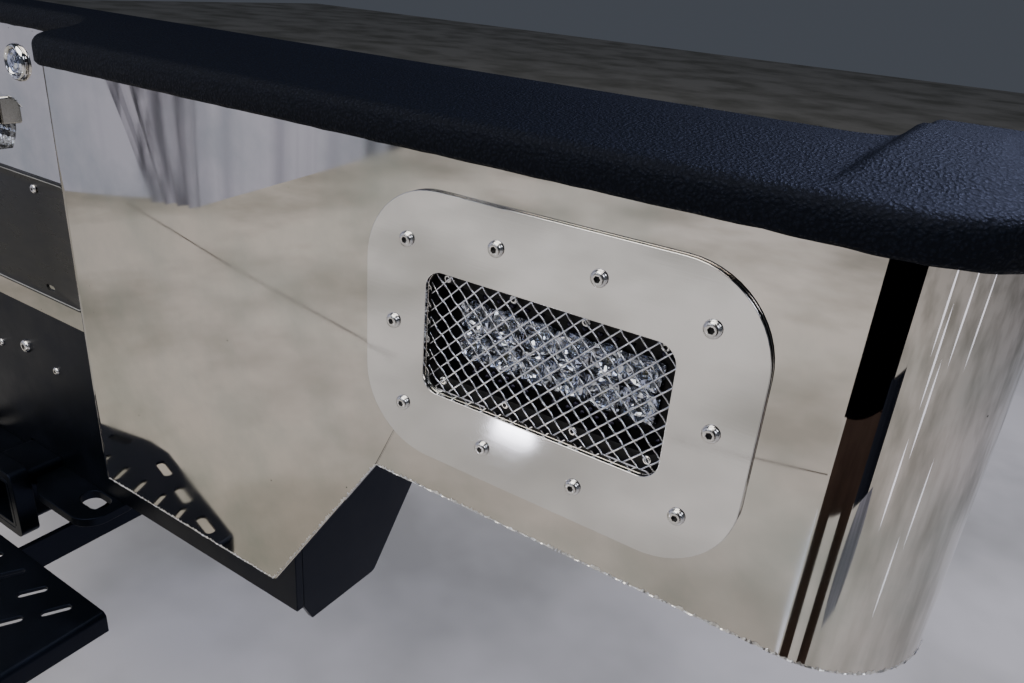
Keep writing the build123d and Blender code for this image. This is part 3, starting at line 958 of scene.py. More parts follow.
@dataclass
class ScrewHead:
    """Button head screw with a hexagon socket, modelled along Z with its seat at zero."""

    radius: float
    height: float
    socket: float                    # across the socket's corners
    depth: float
    steps: int = 24

    def mesh(self, twist: float = 0.0) -> Mesh:
        """Makes one head.

        Args:
            twist: turn of the socket in degrees.

        Returns:
            The head's mesh, with its socket's floor on the second material.
        """
        flat = self.socket * 0.62
        dome = [(self.radius, 0.0), (self.radius, self.height * 0.12)]
        for i in range(1, 6):
            angle = math.pi / 2 * i / 6
            dome.append((flat + (self.radius - flat) * math.cos(angle), self.height * (0.12 + 0.88 * math.sin(angle))))
        dome.append((flat, self.height))
        bm = spun(dome, self.steps)
        rim = [edge for edge in bm.edges if edge.is_boundary and edge.verts[0].co.z > self.height * 0.99]
        hexagon = bmesh.ops.create_circle(bm, cap_ends=False, segments=6, radius=self.socket / 2)["verts"]
        sides = edges_at(hexagon)
        cut = bmesh.ops.subdivide_edges(bm, edges=sides, cuts=self.steps // 6 - 1)
        loop = only(Edge, cut["geom"])
        loop = list(dict.fromkeys(loop + [edge for edge in sides if edge.is_valid]))
        points = verts_of(loop)
        bmesh.ops.translate(bm, verts=points, vec=(0, 0, self.height * 0.97))
        bmesh.ops.bridge_loops(bm, edges=rim + loop)
        walls = bmesh.ops.extrude_edge_only(bm, edges=loop)["geom"]
        low = only(Vert, walls)
        bmesh.ops.translate(bm, verts=low, vec=(0, 0, -self.depth))
        floor_edges = only(Edge, walls)
        floor = bmesh.ops.contextual_create(bm, geom=floor_edges)["faces"]
        bmesh.ops.recalc_face_normals(bm, faces=bm.faces)
        for face in floor:
            face.material_index = 1
        turn(bm, twist, "Z")
        return bm


@dataclass
class LampCover:
    """Buffed cover plate over the lamp window, held by ten button head screws."""

    side: Side
    corner: float = 57 * MM
    window: Triple = (178 * MM, 89 * MM, 13 * MM)
    hole: float = 3.2 * MM
    head: ScrewHead = field(default_factory=lambda: ScrewHead(5.55 * MM, 3.3 * MM, 4.5 * MM, 1.6 * MM))
    screws: Tuple[Pair, ...] = (  # x and z from the plate's centre, in millimetres
        (105.5, 61.1), (35.6, 71.3), (-35.6, 71.3), (-105.5, 61.1), (-115.7, 0.0),
        (-105.5, -61.1), (-35.6, -71.3), (35.6, -71.3), (105.5, -61.1), (115.7, 0.0),
    )

    def build(self) -> List[Piece]:
        """Makes the plate and its screws."""
        node = f"lamp_cover_{self.side.tag}"
        low, high = right_box("lamp_cover")
        centre = (low + high) / 2
        bm = bmesh.new()
        edges: List[Edge] = []
        shapes = [(high.x - low.x, high.z - low.z, self.corner), self.window]
        for width, height, radius in shapes:
            edges += rounded_loop(bm, rectangle(centre, width, height, radius), Facing.REAR, 14)
        for x, z in self.screws:
            ring = bmesh.ops.create_circle(bm, cap_ends=False, segments=20, radius=self.hole)["verts"]
            bmesh.ops.rotate(bm, verts=ring, cent=(0, 0, 0), matrix=Matrix.Rotation(math.pi / 2, 3, "X"))
            bmesh.ops.translate(bm, verts=ring, vec=(centre.x + x * MM, 0, centre.z + z * MM))
            edges += edges_at(ring)
        faces = fill(bm, edges, REARWARD)
        push(bm, faces, Vector((0, high.y - low.y, 0)))
        move(bm, (0, low.y, 0))
        plate = finish_piece(f"cover_plate_{self.side.tag}", to_side(bm, self.side), [SATIN],
                             [node])
        soften(plate, 0.5 * MM, 3)
        rng = random.Random(11 if self.side is Side.RIGHT else 23)
        heads = []
        for x, z in self.screws:
            head = turn(self.head.mesh(rng.uniform(0, 60)), 90, "X")
            heads.append(move(head, (centre.x + x * MM, low.y + 0.05 * MM, centre.z + z * MM)))
        screws = finish_piece(f"cover_screws_{self.side.tag}", to_side(join(heads), self.side),
                              SCREW)
        return [plate, screws]


@dataclass
class WovenGrille:
    """Plain woven wire mesh set on its corner, cut along its crossings."""

    side: Side
    cell: float = 12.4 * MM          # corner to corner of a diamond
    wire: float = 1.2 * MM
    columns: float = 15.0
    rows: float = 7.5
    tucked: float = 0.5              # of a cell, that the wires reach up behind the wing's sheet
    steps_per_cell: int = 6

    def build(self) -> List[Piece]:
        """Weaves the mesh in the grille node's place."""
        low, high = right_box("lamp_grille")
        centre = (low + high) / 2
        wires = []
        for way in (1, -1):
            for offset in self.offsets(way):
                start = max(-self.columns / 2, offset - self.rows / 2 - (self.tucked if way < 0 else 0))
                end = min(self.columns / 2, offset + self.rows / 2 + (self.tucked if way > 0 else 0))
                if end - start > 0.6:
                    wires.append(self.wire_mesh(way, offset, start, end))
        bm = move(join(wires), centre)
        return [finish_piece(f"woven_grille_{self.side.tag}", to_side(bm, self.side), [WIRE_STEEL],
                             [f"lamp_grille_{self.side.tag}"], 60.0)]

    def offsets(self, way: int) -> List[float]:
        """Places of the wires that run one way, in cells, so that they meet in tips along the lower edge."""
        reach = int(self.columns + self.rows) // 2 + 1
        return [i + 0.5 + way * 0.25 for i in range(-reach, reach)]

    def wire_mesh(self, way: int, offset: float, start: float, end: float) -> Mesh:
        """Makes one crimped wire.

        Args:
            way: 1 for a wire that rises to the right, -1 for one that falls.
            offset: where the wire crosses the middle line, in cells.
            start: left end along x, in cells.
            end: right end along x, in cells.

        Returns:
            The wire's mesh about the grille's centre.
        """
        length = (end - start) * self.cell * math.sqrt(2) + self.wire
        pitch = self.cell / math.sqrt(2)
        cuts = int(length / pitch * self.steps_per_cell)
        bm = bmesh.new()
        bmesh.ops.create_cone(bm, cap_ends=True, segments=8, radius1=self.wire / 2, radius2=self.wire / 2,
                              depth=length)
        runs = [edge for edge in bm.edges if abs(edge.verts[0].co.z - edge.verts[1].co.z) > length / 2]
        bmesh.ops.subdivide_edges(bm, edges=runs, cuts=cuts)
        turn(bm, 90, "Y")
        turn(bm, -45 * way, "Y")
        middle = (start + end) / 2
        move(bm, (middle * self.cell, 0, way * (middle - offset) * self.cell))
        crimp = self.wire * 0.46
        order = math.floor(offset)
        for vert in bm.verts:
            along = (vert.co.x + way * vert.co.z) / math.sqrt(2) / pitch
            phase = math.pi * (along + 0.25 * way)
            vert.co.y += way * crimp * math.cos(phase) * (-1) ** order
        return bm


@dataclass
class WorkLamp:
    """Work lamp behind the grille: black housing with small screws and studs, and deep-set faceted optics."""

    side: Side
    columns: int = 6
    pitch: Pair = (25.2 * MM, 22.6 * MM)
    set_back: float = 10 * MM        # of the optics' fronts behind the housing's face
    pocket: Tuple[float, float, float, float] = (171 * MM, 69 * MM, 10 * MM, 14.7 * MM)  # the last is its depth
    cups_end: float = 17.5 * MM      # where the CAD housing is solid behind its cups
    housing_round: float = 8 * MM
    rings: Tuple[Pair, ...] = (  # share of the optic's half width, and depth in millimetres
        (0.13, 1.2), (0.32, 2.2), (0.38, 3.6), (0.58, 1.6), (0.78, 0.6), (0.92, 1.4), (1.0, 3.0),
    )
    facets: int = 14
    jitter: float = 0.8 * MM         # of the facets' corners, in depth
    twist: float = 0.10              # and round the optic, in radians
    depth: float = 4.6 * MM
    chip: Triple = (3.0 * MM, 0.4 * MM, 3.0 * MM)
    stud: Tuple[Pair, ...] = (
        (2.4 * MM, 0.0), (2.1 * MM, 1.2 * MM), (1.2 * MM, 2.0 * MM), (0.0, 2.3 * MM),
    )
    stud_pitch: float = 10.8 * MM
    stud_rows: Tuple[float, ...] = (27.0 * MM, 31.4 * MM)
    stud_count: int = 7              # on each side of the middle
    head: ScrewHead = field(default_factory=lambda: ScrewHead(3.1 * MM, 1.4 * MM, 3.1 * MM, 1.0 * MM, 18))
    screws: Tuple[Pair, ...] = ((26.0, 38.0), (78.0, 38.0))  # millimetres, mirrored both ways

    def build(self) -> List[Piece]:
        """Makes the housing, and its screws, studs, optics and light chips."""
        tag = self.side.tag
        low, high = right_box("lamp_body")
        centre = rear_centre(low, high)
        rng = random.Random(5)
        made = [self.housing(low, high)]
        heads = []
        for x, z in self.screws:
            for a, b in ((1, 1), (-1, 1), (1, -1), (-1, -1)):
                head = turn(self.head.mesh(rng.uniform(0, 60)), 90, "X")
                heads.append(move(head, centre + Vector((a * x * MM, 0.1 * MM, b * z * MM))))
        made.append(finish_piece(f"lamp_screws_{tag}", to_side(join(heads), self.side), SCREW))
        studs = []
        for i in range(-self.stud_count, self.stud_count + 1):
            for row, z in enumerate(self.stud_rows):
                for way in (-1, 1):
                    place = centre + Vector(((i + 0.5 * row - 0.25) * self.stud_pitch, self.pocket[3], way * z))
                    studs.append(move(turn(turned(self.stud, 12), 90, "X"), place))
        made.append(finish_piece(f"lamp_studs_{tag}", to_side(join(studs), self.side), [STUD]))
        optics, chips = [], []
        for i in range(self.columns):
            for row in (-0.5, 0.5):
                place = centre + Vector(((i - (self.columns - 1) / 2) * self.pitch[0], 0, row * self.pitch[1]))
                optics.append(move(self.optic(rng), place + Vector((0, self.set_back, 0))))
                chip = bmesh.new()
                bmesh.ops.create_cube(chip, size=1.0)
                bmesh.ops.scale(chip, verts=chip.verts, vec=self.chip)
                chips.append(move(chip, place + Vector((0, self.pocket[3] - self.chip[1] / 2, 0))))
        made.append(finish_piece(f"lamp_optics_{tag}", to_side(join(optics), self.side), [CRYSTAL, OPTIC],
                                 [f"lamp_lenses_{tag}"], 2.0))
        made.append(finish_piece(f"light_chips_{tag}", to_side(join(chips), self.side), [CHIP]))
        return made

    def housing(self, low: Vector, high: Vector) -> Piece:
        """Makes the housing from the CAD's finned rear and a front with one pocket.

        Args:
            low: lowest corner of the housing.
            high: highest corner of the housing.

        Returns:
            The housing's object.
        """
        rear = cad_copy(f"lamp_body_{Side.RIGHT.tag}")
        cut = bmesh.ops.bisect_plane(rear, geom=rear.verts[:] + rear.edges[:] + rear.faces[:], dist=SAME,
                                     plane_co=(0, low.y + self.cups_end, 0), plane_no=(0, -1, 0), clear_outer=True)
        edges = only(Edge, cut["geom_cut"])
        bmesh.ops.contextual_create(rear, geom=edges)
        bmesh.ops.recalc_face_normals(rear, faces=rear.faces)
        centre = (low + high) / 2
        outer = rectangle(centre, high.x - low.x, high.z - low.z, self.housing_round)
        parts = [rear]
        for holes, start, end in (([rectangle(centre, *self.pocket[:3])], 0.0, self.pocket[3]),
                                  ([], self.pocket[3], self.cups_end)):
            part = bmesh.new()
            edges = rounded_loop(part, outer, Facing.REAR)
            for hole in holes:
                edges += rounded_loop(part, hole, Facing.REAR)
            push(part, fill(part, edges, REARWARD), Vector((0, end - start, 0)))
            parts.append(move(part, (0, low.y + start, 0)))
        piece = finish_piece(f"lamp_housing_{self.side.tag}", to_side(join(parts), self.side), [CAST],
                             [f"lamp_body_{self.side.tag}"])
        soften(piece, 0.5 * MM)
        return piece

    def optic(self, rng: random.Random) -> Mesh:
        """Makes one clear optic, a small lens in a ring of irregular facets, about its front centre.

        Args:
            rng: source of the facets' irregularity.

        Returns:
            The optic's mesh, with its front at y zero and its lens on the second material.
        """
        bm = bmesh.new()
        before: List[Edge] = []
        for number, (share, depth) in enumerate(self.rings):
            verts = bmesh.ops.create_circle(bm, cap_ends=False, segments=self.facets, radius=1.0)["verts"]
            loop = edges_at(verts)
            loose = 0.0 if share == 1.0 else 1.0
            for vert in verts:
                angle = math.atan2(vert.co.y, vert.co.x) + rng.uniform(-self.twist, self.twist) * loose
                angle += math.pi / self.facets * (number % 2) * loose
                corner = 1 + (1 / max(abs(math.cos(angle)), abs(math.sin(angle))) - 1) * share ** 3
                vert.co = (share * corner * math.cos(angle) * self.pitch[0] / 2,
                           depth * MM + rng.uniform(-self.jitter, self.jitter) * loose,
                           share * corner * math.sin(angle) * self.pitch[1] / 2)
            if before:
                bmesh.ops.bridge_loops(bm, edges=before + loop)
            else:
                bmesh.ops.contextual_create(bm, geom=loop)
            before = loop
        for face in bm.faces:
            place = face.calc_center_median()
            face.material_index = int(math.hypot(place.x, place.z) < 0.31 * self.pitch[0] / 2)
        bmesh.ops.triangulate(bm, faces=bm.faces)
        back = bmesh.ops.extrude_edge_only(bm, edges=before)["geom"]
        for vert in only(Vert, back):
            vert.co = (vert.co.x * 0.5, self.depth, vert.co.z * 0.5)
        bmesh.ops.contextual_create(bm, geom=only(Edge, back))
        bmesh.ops.recalc_face_normals(bm, faces=bm.faces)
        return bm


@dataclass
class StepPad:
    """Liner-sprayed step pad: rounded lip, sloping top round the body, and a raised corner at each end."""

    lip: float = 5 * MM
    lip_round: float = 9 * MM
    overhang: float = 5.3 * MM
    wrap: float = 70 * MM
    inner_round: float = 24 * MM
    valley_round: float = 48 * MM
    front_round: float = 12 * MM
    recess_half: float = 268 * MM
    crest: float = 85.3 * MM         # from the pad's rear to where its slope meets the flat deck
    fall: float = 12 * MM            # of the slope
    crest_soft: float = 8 * MM
    deck: float = 135.3 * MM         # from the pad's rear to the body's clearance
    body_half: float = 957 * MM
    body_round: float = 30 * MM
    set_in: float = 6 * MM
    rise: float = 8.5 * MM           # of the raised corner's top over the deck
    centre_lift: float = 14 * MM     # of the lip's lower edge in the recess
    levels: Tuple[Tuple[float, ...], ...] = (  # height, then insets from body, rear, end and front, and corner, in mm
        (-13.0, -13.0, 0.0, 0.0, 0.0, 64.0), (1.0, 0.0, 44.0, 22.0, 60.0, 26.0), (8.5, 9.0, 105.0, 40.0, 105.0, 6.0),
    )
    low: Vector = field(init=False)
    high: Vector = field(init=False)

    def __post_init__(self) -> None:
        """Takes the pad's place from the CAD."""
        self.low, self.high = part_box("step_pad")

    def build(self) -> List[Piece]:
        """Makes the pad as one shell from inside its lip over the rounded edge to the top."""
        bm = bmesh.new()
        top = self.high.z - self.rise
        levels = [(self.lip, self.low.z + 20 * MM), (self.lip, self.low.z), (self.lip * 0.4, self.low.z),
                  (0.0, self.low.z + self.lip * 0.5)]
        for i in range(7):
            angle = math.pi / 2 * i / 6
            levels.append((self.lip_round * (1 - math.cos(angle)), top - self.lip_round * (1 - math.sin(angle))))
        before: List[Edge] = []
        for inset, height in levels:
            loop = rounded_loop(bm, self.plan(inset), Facing.TOP, 14)
            bmesh.ops.translate(bm, verts=verts_of(loop), vec=(0, 0, height))
            if before:
                bmesh.ops.bridge_loops(bm, edges=before + loop)
            before = loop
        bmesh.ops.contextual_create(bm, geom=before)
        bmesh.ops.recalc_face_normals(bm, faces=bm.faces)
        self.grid(bm)
        for vert in bm.verts:
            if vert.co.z > top - self.lip_round - 1e-5:
                vert.co.z = self.height_at(vert.co)
            elif vert.co.z < self.low.z + 3 * MM:
                vert.co.z += 0.6 * MM * (noise.noise(vert.co * 60) + 1) + self.lift_at(vert.co)
        return [finish_piece("step_pad_liner", bm, [LINER], ["step_pad"], 50.0)]

    def plan(self, inset: float) -> List[Corner]:
        """Outline from above, moved inwards by the inset."""
        inner = self.recess_half - self.overhang + inset
        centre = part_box("centre_panel")[0].y - self.overhang + inset
        body, deck = self.body_half + inset, self.low.y + self.deck - inset
        end, front = self.high.x - inset, self.high.y - inset
        half = [
            (body, deck, self.body_round + inset), (body, front, self.front_round - inset), (end, front, 0.0),
            (end, self.low.y + inset, self.wrap + self.overhang - inset),
            (inner, self.low.y + inset, self.inner_round - inset), (inner, centre, self.valley_round + inset),
        ]
        return half + [(-x, y, radius) for x, y, radius in reversed(half)]

    def grid(self, bm: Mesh) -> None:
        """Cuts the lip along its length, the deck along its crest and the raised corners into a grid."""
        short = self.recess_half - self.overhang - self.valley_round
        cuts = [i * 12 * MM for i in range(int(self.high.x / (12 * MM)))] + [short, short + 3 * MM]
        cuts += [self.body_half - 15 * MM + i * 4.5 * MM for i in range(24)]
        for x in cuts:
            for way in (-1, 1):
                bmesh.ops.bisect_plane(bm, geom=bm.verts[:] + bm.edges[:] + bm.faces[:], plane_co=(way * x, 0, 0),
                                       plane_no=(1, 0, 0), dist=SAME)
        crest = self.low.y + self.crest
        for i in range(-4, 5):
            bmesh.ops.bisect_plane(bm, geom=bm.verts[:] + bm.edges[:] + bm.faces[:], dist=SAME,
                                   plane_co=(0, crest + i * self.crest_soft / 4, 0), plane_no=(0, 1, 0))
        for i in range(1, int((self.high.y - self.low.y) / (4.5 * MM))):
            outer = [face for face in bm.faces if abs(face.calc_center_median().x) > self.body_half - 14 * MM]
            geom = list(dict.fromkeys(item for face in outer for item in [face, *face.edges, *face.verts]))
            bmesh.ops.bisect_plane(bm, geom=geom, plane_co=(0, self.low.y + i * 4.5 * MM, 0), plane_no=(0, 1, 0),
                                   dist=SAME)

    def height_at(self, point: Vector) -> float:
        """Height of the finished top at a point of the flat top or of its rounded edge."""
        before = self.crest - (point.y - self.low.y)
        soft = self.crest_soft
        run = max(before, 0.0) if abs(before) > soft else (before + soft) ** 2 / (4 * soft)
        sloped = point.z - self.fall / self.crest * run
        mound = self.high.z - self.rise + self.mound_at(abs(point.x), point.y)
        return 0.5 * (sloped + mound + math.sqrt((sloped - mound) ** 2 + (1 * MM) ** 2))

    def mound_at(self, x: float, y: float) -> float:
        """Height of the raised corner over the deck at a point, far below it where there is none."""
        if not self.covers(x, y, 0.0):
            return -1.0
        low, high = 0.0, float(len(self.levels) - 1)
        if self.covers(x, y, high):
            return self.level(high)[0]
        for _ in range(14):
            middle = (low + high) / 2
            if self.covers(x, y, middle):
                low = middle
            else:
                high = middle
        return self.level(low)[0]

    def level(self, share: float) -> List[float]:
        """Section of the raised corner between two levels of the table, in metres."""
        first = min(int(share), len(self.levels) - 2)
        part = share - first
        return [(a + (b - a) * part) * MM for a, b in zip(self.levels[first], self.levels[first + 1])]

    def covers(self, x: float, y: float, share: float) -> bool:
        """Whether a level's section holds a point."""
        _, body, rear, end, front, corner = self.level(share)
        right = self.high.x - self.set_in - end
        back = self.low.y + self.set_in + rear
        if not (self.body_half + body <= x <= right and back <= y <= self.high.y - self.set_in - front):
            return False
        across, behind = x - (right - corner), back + corner - y
        return across <= 0 or behind <= 0 or across * across + behind * behind <= corner * corner

    def lift_at(self, point: Vector) -> float:
        """How much higher the lip ends at a point, in the recess."""
        short = self.recess_half - self.overhang - self.valley_round + 0.1 * MM
        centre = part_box("centre_panel")[0].y
        return self.centre_lift if abs(point.x) < short and point.y < centre + 12 * MM else 0.0


@dataclass
class CentreBay:
    """Recess between the wings: polished panel, blank plate, hooded plate lamp and two round lamps."""

    bezel_radius: float = 19.5 * MM
    bezel_height: float = 5 * MM
    lens_radius: float = 14.5 * MM
    hood: Triple = (80 * MM, 24 * MM, 31 * MM)
    hood_drop: float = 6 * MM        # below the CAD hood, as in the photograph
    glass: Triple = (72 * MM, 17 * MM, 27 * MM)
    plate_slot: Pair = (89 * MM, 60.3 * MM)
    head: ScrewHead = field(default_factory=lambda: ScrewHead(5.4 * MM, 2.6 * MM, 4.4 * MM, 1.6 * MM))

    def build(self) -> List[Piece]:
        """Dresses the panel and makes the plate's rim and screws, the bezels, lenses and hood."""
        dress("centre_panel", POLISHED)
        made = self.plate()
        for side in Side:
            made += self.round_lamp(side)
        made += self.plate_lamp()
        return made

    def plate(self) -> List[Piece]:
        """Blank plate with a pressed rim, a pale border line, four screw slots and two screws in the upper slots."""
        low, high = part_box("registration_plate")
        centre = (low + high) / 2
        bm = bmesh.new()
        corners = rectangle(centre, high.x - low.x, high.z - low.z, 9 * MM)
        edges = rounded_loop(bm, corners, Facing.REAR, 8)
        slots: List[Edge] = []
        for a, b in FOUR_WAYS:
            x, z = centre.x + a * self.plate_slot[0], centre.z + b * self.plate_slot[1]
            box = [(x - 9 * MM, z - 3.5 * MM, 3.45 * MM), (x + 9 * MM, z - 3.5 * MM, 3.45 * MM),
                   (x + 9 * MM, z + 3.5 * MM, 3.45 * MM), (x - 9 * MM, z + 3.5 * MM, 3.45 * MM)]
            slots += rounded_loop(bm, box, Facing.REAR, 5)
        rim = []
        for inset in (2.2 * MM, 3.4 * MM):
            inner = [(x - math.copysign(inset, x - centre.x), z - math.copysign(inset, z - centre.z), r - inset)
                     for x, z, r in corners]
            rim.append(rounded_loop(bm, inner, Facing.REAR, 8))
        bmesh.ops.bridge_loops(bm, edges=edges + rim[0])
        border = bmesh.ops.bridge_loops(bm, edges=rim[0] + rim[1])["faces"]
        fill(bm, rim[1] + slots, REARWARD)
        for face in bm.faces:
            face.normal_update()
            if face.normal.y > 0:
                face.normal_flip()
        for face in border:
            face.material_index = 1
        raised = verts_of(rim[0])
        faces = list(bm.faces)
        push(bm, faces, Vector((0, high.y - low.y, 0)))
        move(bm, (0, low.y, 0))
        for vert in raised:
            if vert.is_valid:
                vert.co.y -= 0.4 * MM
        plate = finish_piece("blank_plate", bm, [ENAMEL, BORDER], ["registration_plate"])
        heads = []
        rng = random.Random(3)
        for a, b in ((-1, 1), (1, 1)):
            head = turn(self.head.mesh(rng.uniform(0, 60)), 90, "X")
            heads.append(move(head, (centre.x + a * self.plate_slot[0], low.y, centre.z + b * self.plate_slot[1])))
        screws = finish_piece("plate_screws", join(heads), SCREW)
        return [plate, screws]

    def round_lamp(self, side: Side) -> List[Piece]:
        """Chrome bezel and clear domed lens with facets behind it."""
        low, high = right_box("round_lamp_bezel")
        centre = Vector(((low.x + high.x) / 2, high.y, (low.z + high.z) / 2))
        rim = self.bezel_radius
        high, inner = self.bezel_height, self.lens_radius - 0.6 * MM
        ring = turned([(inner, 0.0), (rim, 0.0), (rim, high * 0.3), (rim - 0.7 * MM, high * 0.55),
                       (rim - 1.6 * MM, high * 0.85), (rim - 2.8 * MM, high), (rim - 4 * MM, high * 0.92),
                       (inner, high * 0.5), (inner, 0.0)], 40)
        ring = move(turn(ring, 90, "X"), centre)
        inner = self.lens_radius - 1 * MM
        dome = turned([(0.0, high * 0.2), (inner, high * 0.2), (inner, high * 0.6), (inner * 0.8, high * 0.95),
                       (inner * 0.55, high * 0.8), (inner * 0.3, high * 1.1), (0.0, high * 0.9)], 12)
        dome = move(turn(dome, 90, "X"), centre)
        return [
            finish_piece(f"round_bezel_{side.tag}", to_side(ring, side), [CHROME],
                         [f"round_lamp_bezel_{side.tag}"]),
            finish_piece(f"round_lens_{side.tag}", to_side(dome, side), [CRYSTAL],
                         [f"round_lamp_lens_{side.tag}"], 8.0),
        ]

    def plate_lamp(self) -> List[Piece]:
        """Chrome hood, rounded at its upper rear edge, and a ribbed clear lens under it."""
        low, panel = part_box("plate_lamp_hood")
        low.z -= self.hood_drop
        width, depth, height = self.hood
        bm = bmesh.new()
        side = [(panel.y, low.z, 0.0), (panel.y - depth, low.z, 0.0), (panel.y - depth, low.z + height, 12 * MM),
                (panel.y, low.z + height, 0.0)]
        faces = fill(bm, rounded_loop(bm, side, Facing.SIDE, 10), Vector((1, 0, 0)))
        push(bm, faces, Vector((width, 0, 0)))
        hood = finish_piece("plate_lamp_shell", move(bm, (-width / 2, 0, 0)), [CHROME],
                            ["plate_lamp_hood"])
        soften(hood, 2.5 * MM, 4)
        return [hood, self.ribbed_glass(panel.y, low.z - 0.3 * MM)]

    def ribbed_glass(self, rear: float, top: float) -> Piece:
        """Makes the plate lamp's lens, ribbed and bulging from its foot to the hood."""
        width, depth, height = self.glass
        bm = bmesh.new()
        ribs = 22
        bmesh.ops.create_grid(bm, x_segments=ribs * 2, y_segments=6, size=0.5)
        foot = 0.55
        for vert in bm.verts:
            across, rise = vert.co.x, vert.co.y + 0.5
            bulge = foot + (1 - foot) * math.sin(rise * math.pi / 2)
            groove = 0.9 * MM * (round((across + 0.5) * ribs * 2) % 2)
            vert.co = (across * width, rear - depth * bulge + groove, top - height * (1 - rise))
        edge_loop = [edge for edge in bm.edges if edge.is_boundary]
        back = bmesh.ops.extrude_edge_only(bm, edges=edge_loop)["geom"]
        for vert in only(Vert, back):
            vert.co.y = rear
        bmesh.ops.contextual_create(bm, geom=only(Edge, back))
        bmesh.ops.recalc_face_normals(bm, faces=bm.faces)
        return finish_piece("plate_lamp_glass", bm, [CRYSTAL], ["plate_lamp_lens"], 20.0)


@dataclass
class Hitch:
    """Powder coated hitch, step and carrying frame, with the bolts that hold them."""

    edge: float = 1.0 * MM
    plain: Tuple[str, ...] = (
        "hitch_plate", "hitch_cross_tube", "receiver_tube", "receiver_collar", "step_plate", "main_beam", "cap_ribs",
    )
    sided: Tuple[str, ...] = ("hitch_side", "chain_ear", "step_arm", "wing_ribs", "frame_pad", "lamp_bracket")
    plate_bolts: Tuple[Triple, ...] = (  # x, z and head radius in millimetres, lamp at z 180
        (-65.0, -103.0, 5.5), (0.0, -88.0, 9.0), (65.0, -103.0, 5.5),
    )

    def build(self) -> List[Piece]:
        """Breaks the edges of the CAD pieces and adds the bolts."""
        made = []
        for name in list(self.plain) + [f"{name}_{side.tag}" for name in self.sided for side in Side]:
            made.append(self.softened(name))
        low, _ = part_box("hitch_plate")
        heads = []
        rng = random.Random(9)
        for x, z, radius in self.plate_bolts:
            head = ScrewHead(radius * MM, radius * 0.55 * MM, radius * 0.85 * MM, radius * 0.35 * MM)
            heads.append(move(turn(head.mesh(rng.uniform(0, 60)), 90, "X"), (x * MM, low.y, z * MM)))
        made.append(finish_piece("hitch_bolts", join(heads), SCREW))
        return made

    def softened(self, node: str) -> Piece:
        """Copies a CAD node as one closed mesh and breaks its sharp edges.

        Args:
            node: the CAD node that the copy stands for.

        Returns:
            The copy.
        """
        bm = cad_copy(node)
        bmesh.ops.dissolve_limit(bm, angle_limit=math.radians(0.5), verts=bm.verts, edges=bm.edges)
        piece = finish_piece(f"{node}_coated", bm, [POWDER], [node])
        soften(piece, self.edge, 2, 50.0)
        return piece


@dataclass(frozen=True)
class Hanging:
    """Flat or folded sheet that stands on the studio floor and that only reflections see."""

    name: str
    finish: Finish
    start: Pair
    end: Pair
    low: float = FLOOR_Z
    high: float = 3.0
    folds: int = 0
    depth: float = 0.0
    spread: float = 0.0              # how much further the start lies at the top, against the foot
    taper: float = 0.0               # of the width at the foot and at the top, against the middle

    def mesh(self) -> Mesh:
        """Makes the sheet from start to end, with its folds deeper towards the top."""
        bm = bmesh.new()
        bmesh.ops.create_grid(bm, x_segments=max(self.folds * 10, 1), y_segments=8, size=0.5)
        run = Vector(self.end) - Vector(self.start)
        across = Vector((-run.y, run.x)).normalized()
        for vert in bm.verts:
            share, rise = vert.co.x + 0.5, vert.co.y + 0.5
            wave = math.sin(2 * math.pi * (self.folds * share + 0.35 * noise.noise(Vector((share * 9, 0, 0)))))
            narrow = 1 - self.taper * (2 * rise - 1) ** 2
            along = 0.5 + (share - 0.5) * narrow - (1 - share) * rise * self.spread
            point = Vector(self.start) + along * run + across * (self.depth * wave * (0.4 + 0.6 * rise))
            vert.co = (point.x, point.y, self.low + rise * (self.high - self.low))
        return bm


